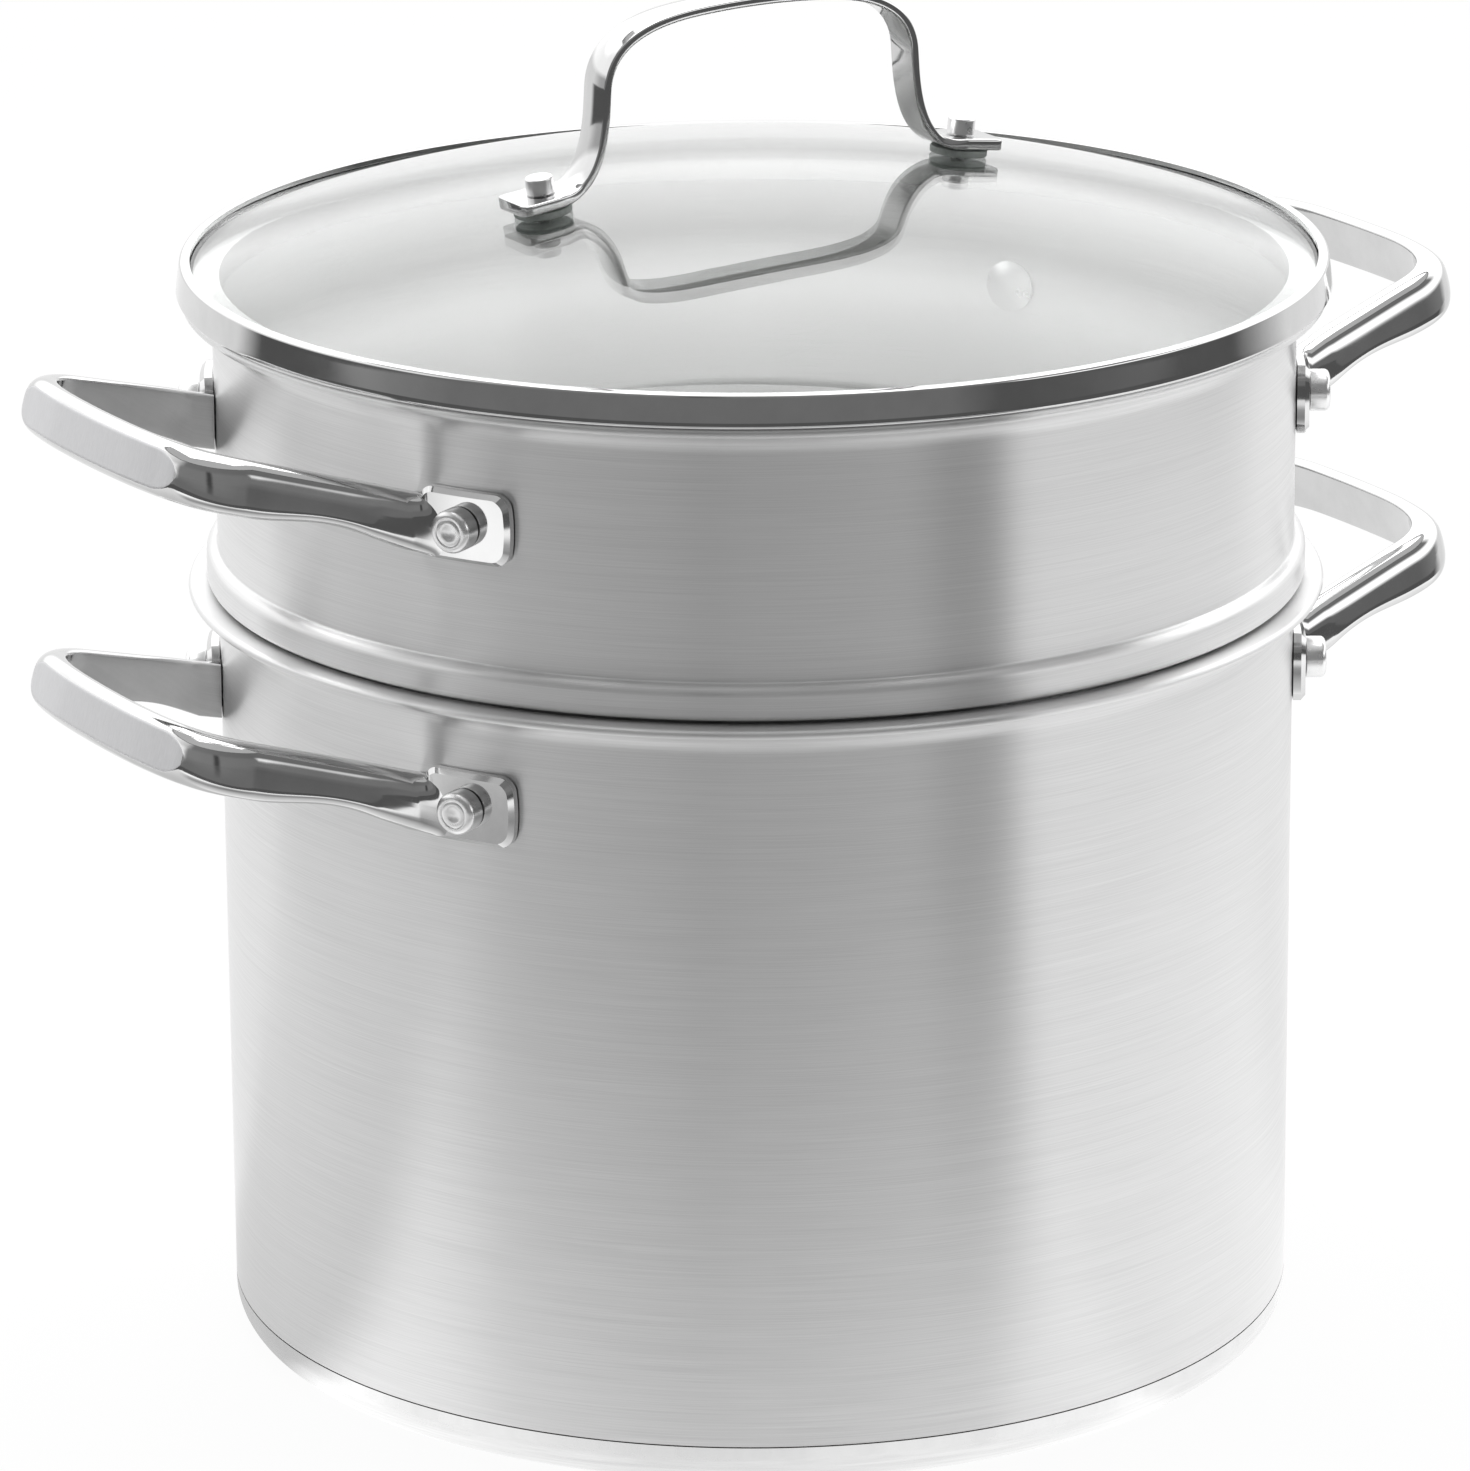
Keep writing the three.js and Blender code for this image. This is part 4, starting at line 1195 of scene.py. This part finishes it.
def studio_world():
    """White studio: lit walls behind and at the sides, a dark room at the camera, a grey ceiling.

    Stops are (bearing or height in degrees, level).
    """
    world = bpy.data.worlds.new("studio")
    world.use_nodes = True
    tree = world.node_tree
    background = tree.nodes["Background"]
    place = tree.nodes.new("ShaderNodeTexCoord").outputs["Generated"]
    parts = tree.nodes.new("ShaderNodeSeparateXYZ")
    link(tree, place, parts.inputs["Vector"])
    bearing = bearing_from_camera(tree, place)
    height = maths(tree, "MULTIPLY", maths(tree, "ARCSINE", parts.outputs["Z"]), 180 / math.pi)

    def round_about(stops):
        return levels(tree, bearing, -180, 180, stops)

    def above(low, high):
        return levels(tree, height, -90, 90, [(low, 0.0), (high, 1.0)])

    low_left = [(-180, 1.0), (-115, 1.0), (-100, 0.6), (-75, 0.3), (-60, 0.22)]
    low_right = [(38, 0.22), (48, 0.12), (65, 0.14), (115, 0.3), (130, 1.0)]
    low_walls = round_about(low_left + low_right)
    middle_left = [(-180, 1.7), (-110, 1.4), (-66, 1.25), (-57, 0.3)]
    dark_streak = [(-16, 0.28), (-12, 0.08), (-8, 0.08), (-4, 0.28)]
    middle_right = [(51, 0.25), (56, 1.8), (180, 1.7)]
    middle_walls = round_about(middle_left + dark_streak + middle_right)
    upper_left = [(-180, 3.0), (-130, 2.6), (-105, 1.4), (-65, 0.8), (-50, 0.25)]
    upper_right = [(50, 0.2), (105, 0.25), (130, 2.6), (180, 3.0)]
    upper_walls = round_about(upper_left + upper_right)
    walls = blend(tree, above(6, 12), low_walls, middle_walls)
    walls = blend(tree, above(26, 34), walls, upper_walls)
    ceiling = levels(tree, height, 40, 90, [(40, 0.0), (47.6, 0.0), (48.4, 1.0), (90, 1.0)])
    ceiling_level = levels(tree, height, 40, 90, [(40, 0.1), (49.2, 0.1), (50.2, 0.65), (90, 0.65)])
    room = blend(tree, ceiling, walls, ceiling_level)
    paths = tree.nodes.new("ShaderNodeLightPath")
    level_look = levels(tree, height, -90, 90, [(4, 1.0), (10, 0.0)])
    through = maths(tree, "MULTIPLY", paths.outputs["Is Transmission Ray"], level_look)
    seen = maths(tree, "MAXIMUM", paths.outputs["Is Camera Ray"], through)
    link(tree, blend(tree, seen, room, 1.0), background.inputs["Strength"])
    background.inputs["Color"].default_value = (1, 1, 1, 1)
    bpy.context.scene.world = world


FLOOR_RINGS = (0, 500, 1500, 4000)
FLOOR_DROP = 0.2
FLOOR_FACETS = 96
# Painted shade: glow level of the far floor as metal sees it
FAR_FLOOR_LEVEL = 0.12
FLOOR_GLOW_SHARE = 0.94


def studio_floor():
    """Pale floor that shows white and keeps the pot's shadow; seen in metal it glows with painted light and
    shade in lit and dark zones.

    Stops are (reach in metres or bearing in degrees, level).
    """
    verts, faces = turned([(radius, -FLOOR_DROP) for radius in FLOOR_RINGS], FLOOR_FACETS)
    mesh = bpy.data.meshes.new("floor")
    mesh.from_pydata([Vector(v) * MM for v in verts], [], faces)
    mesh.validate()
    floor = bpy.data.objects.new("floor", mesh)
    bpy.context.scene.collection.objects.link(floor)
    material, tree, shader = new_material("pale_floor")
    tree.nodes.remove(shader)
    output = tree.nodes["Material Output"]
    diffuse = tree.nodes.new("ShaderNodeBsdfDiffuse")
    grain = stretched_noise(tree, (4, 4, 4), detail=3)
    link(tree, colour_between(tree, grain, (0.9, 0.9, 0.9), (0.94, 0.94, 0.94)), diffuse.inputs["Color"])

    place = tree.nodes.new("ShaderNodeTexCoord").outputs["Object"]
    length = tree.nodes.new("ShaderNodeVectorMath")
    length.operation = "LENGTH"
    link(tree, place, length.inputs[0])
    reach = length.outputs["Value"]
    bearing = bearing_from_camera(tree, place)

    def outward(stops):
        return levels(tree, reach, 0, 1, stops)

    def round_about(stops):
        return levels(tree, bearing, -180, 180, stops)

    # Painted light and shade: the glow that metal sees dips near the pot and has a dark patch for the handle
    # arms' reflections
    near_dip = [(0.12, 1.15), (0.2, 1.04), (0.32, 0.74), (0.46, 0.36), (0.6, 0.5), (0.75, 1.25), (1.0, 1.35)]
    arm_painted_shade = [(0.12, 1.15), (0.3, 0.85), (0.42, 0.14), (0.68, 0.14), (0.8, 1.2), (1.0, 1.3)]
    before = blend(tree, round_about([(30, 0.0), (38, 1.0)]), outward(near_dip), outward(arm_painted_shade))
    across = round_about([(-60, 1.25), (-12, 0.9), (4, 0.9), (50, 1.2)])
    before = maths(tree, "MULTIPLY", before, across)
    beside_left = outward([(0.12, 0.7), (0.3, 0.84), (0.5, 1.02), (0.75, 1.12), (1.0, 1.12)])
    beside_right = outward([(0.12, 1.15), (0.5, 1.25), (0.75, 1.45), (1.0, 1.45)])
    left = round_about([(-5, 1.0), (5, 0.0)])
    beside = blend(tree, left, beside_right, beside_left)
    in_front = round_about([(-67, 0.0), (-57, 1.0), (48, 1.0), (54, 0.0)])
    behind = round_about([(-118, 1.0), (-110, 0.0), (105, 0.0), (125, 1.0)])
    nearby = blend(tree, in_front, beside, before)
    far_off = levels(tree, reach, 0, 2, [(0.92, 0.0), (1.0, 1.0)])
    # Painted light and shade: the glow level for glossy rays, bright behind the pot and dark far off
    painted_glow_pattern = blend(tree, behind, blend(tree, far_off, nearby, FAR_FLOOR_LEVEL), 1.0)

    paths = tree.nodes.new("ShaderNodeLightPath")
    seen = maths(tree, "MAXIMUM", paths.outputs["Is Camera Ray"], paths.outputs["Is Transmission Ray"])
    glow = tree.nodes.new("ShaderNodeEmission")
    glow.inputs["Color"].default_value = (1, 1, 1, 1)
    link(tree, blend(tree, seen, painted_glow_pattern, 1.0), glow.inputs["Strength"])
    glow_share = maths(tree, "MULTIPLY", seen, FLOOR_GLOW_SHARE)
    amount = maths(tree, "MAXIMUM", paths.outputs["Is Glossy Ray"], glow_share)
    mix = tree.nodes.new("ShaderNodeMixShader")
    link(tree, amount, mix.inputs["Fac"])
    link(tree, diffuse.outputs["BSDF"], mix.inputs[1])
    link(tree, glow.outputs["Emission"], mix.inputs[2])
    link(tree, mix.outputs["Shader"], output.inputs["Surface"])
    mesh.materials.append(material)


LAMP_PLACE = Vector((0.2, 0.3, 1.6))
LAMP_TARGET = Vector((0, 0, 0.15))
LAMP_SIDE = 1.2
LAMP_POWER = 12


def overhead_lamp():
    """Soft square lamp above the part."""
    data = bpy.data.lights.new("lamp_overhead", "AREA")
    data.shape = "RECTANGLE"
    data.size = LAMP_SIDE
    data.size_y = LAMP_SIDE
    data.energy = LAMP_POWER
    lamp = bpy.data.objects.new("lamp_overhead", data)
    bpy.context.scene.collection.objects.link(lamp)
    lamp.location = LAMP_PLACE
    lamp.rotation_euler = (LAMP_TARGET - LAMP_PLACE).to_track_quat("-Z", "Y").to_euler()


studio_world()
studio_floor()
overhead_lamp()

bpy.context.scene.view_settings.view_transform = "Standard"
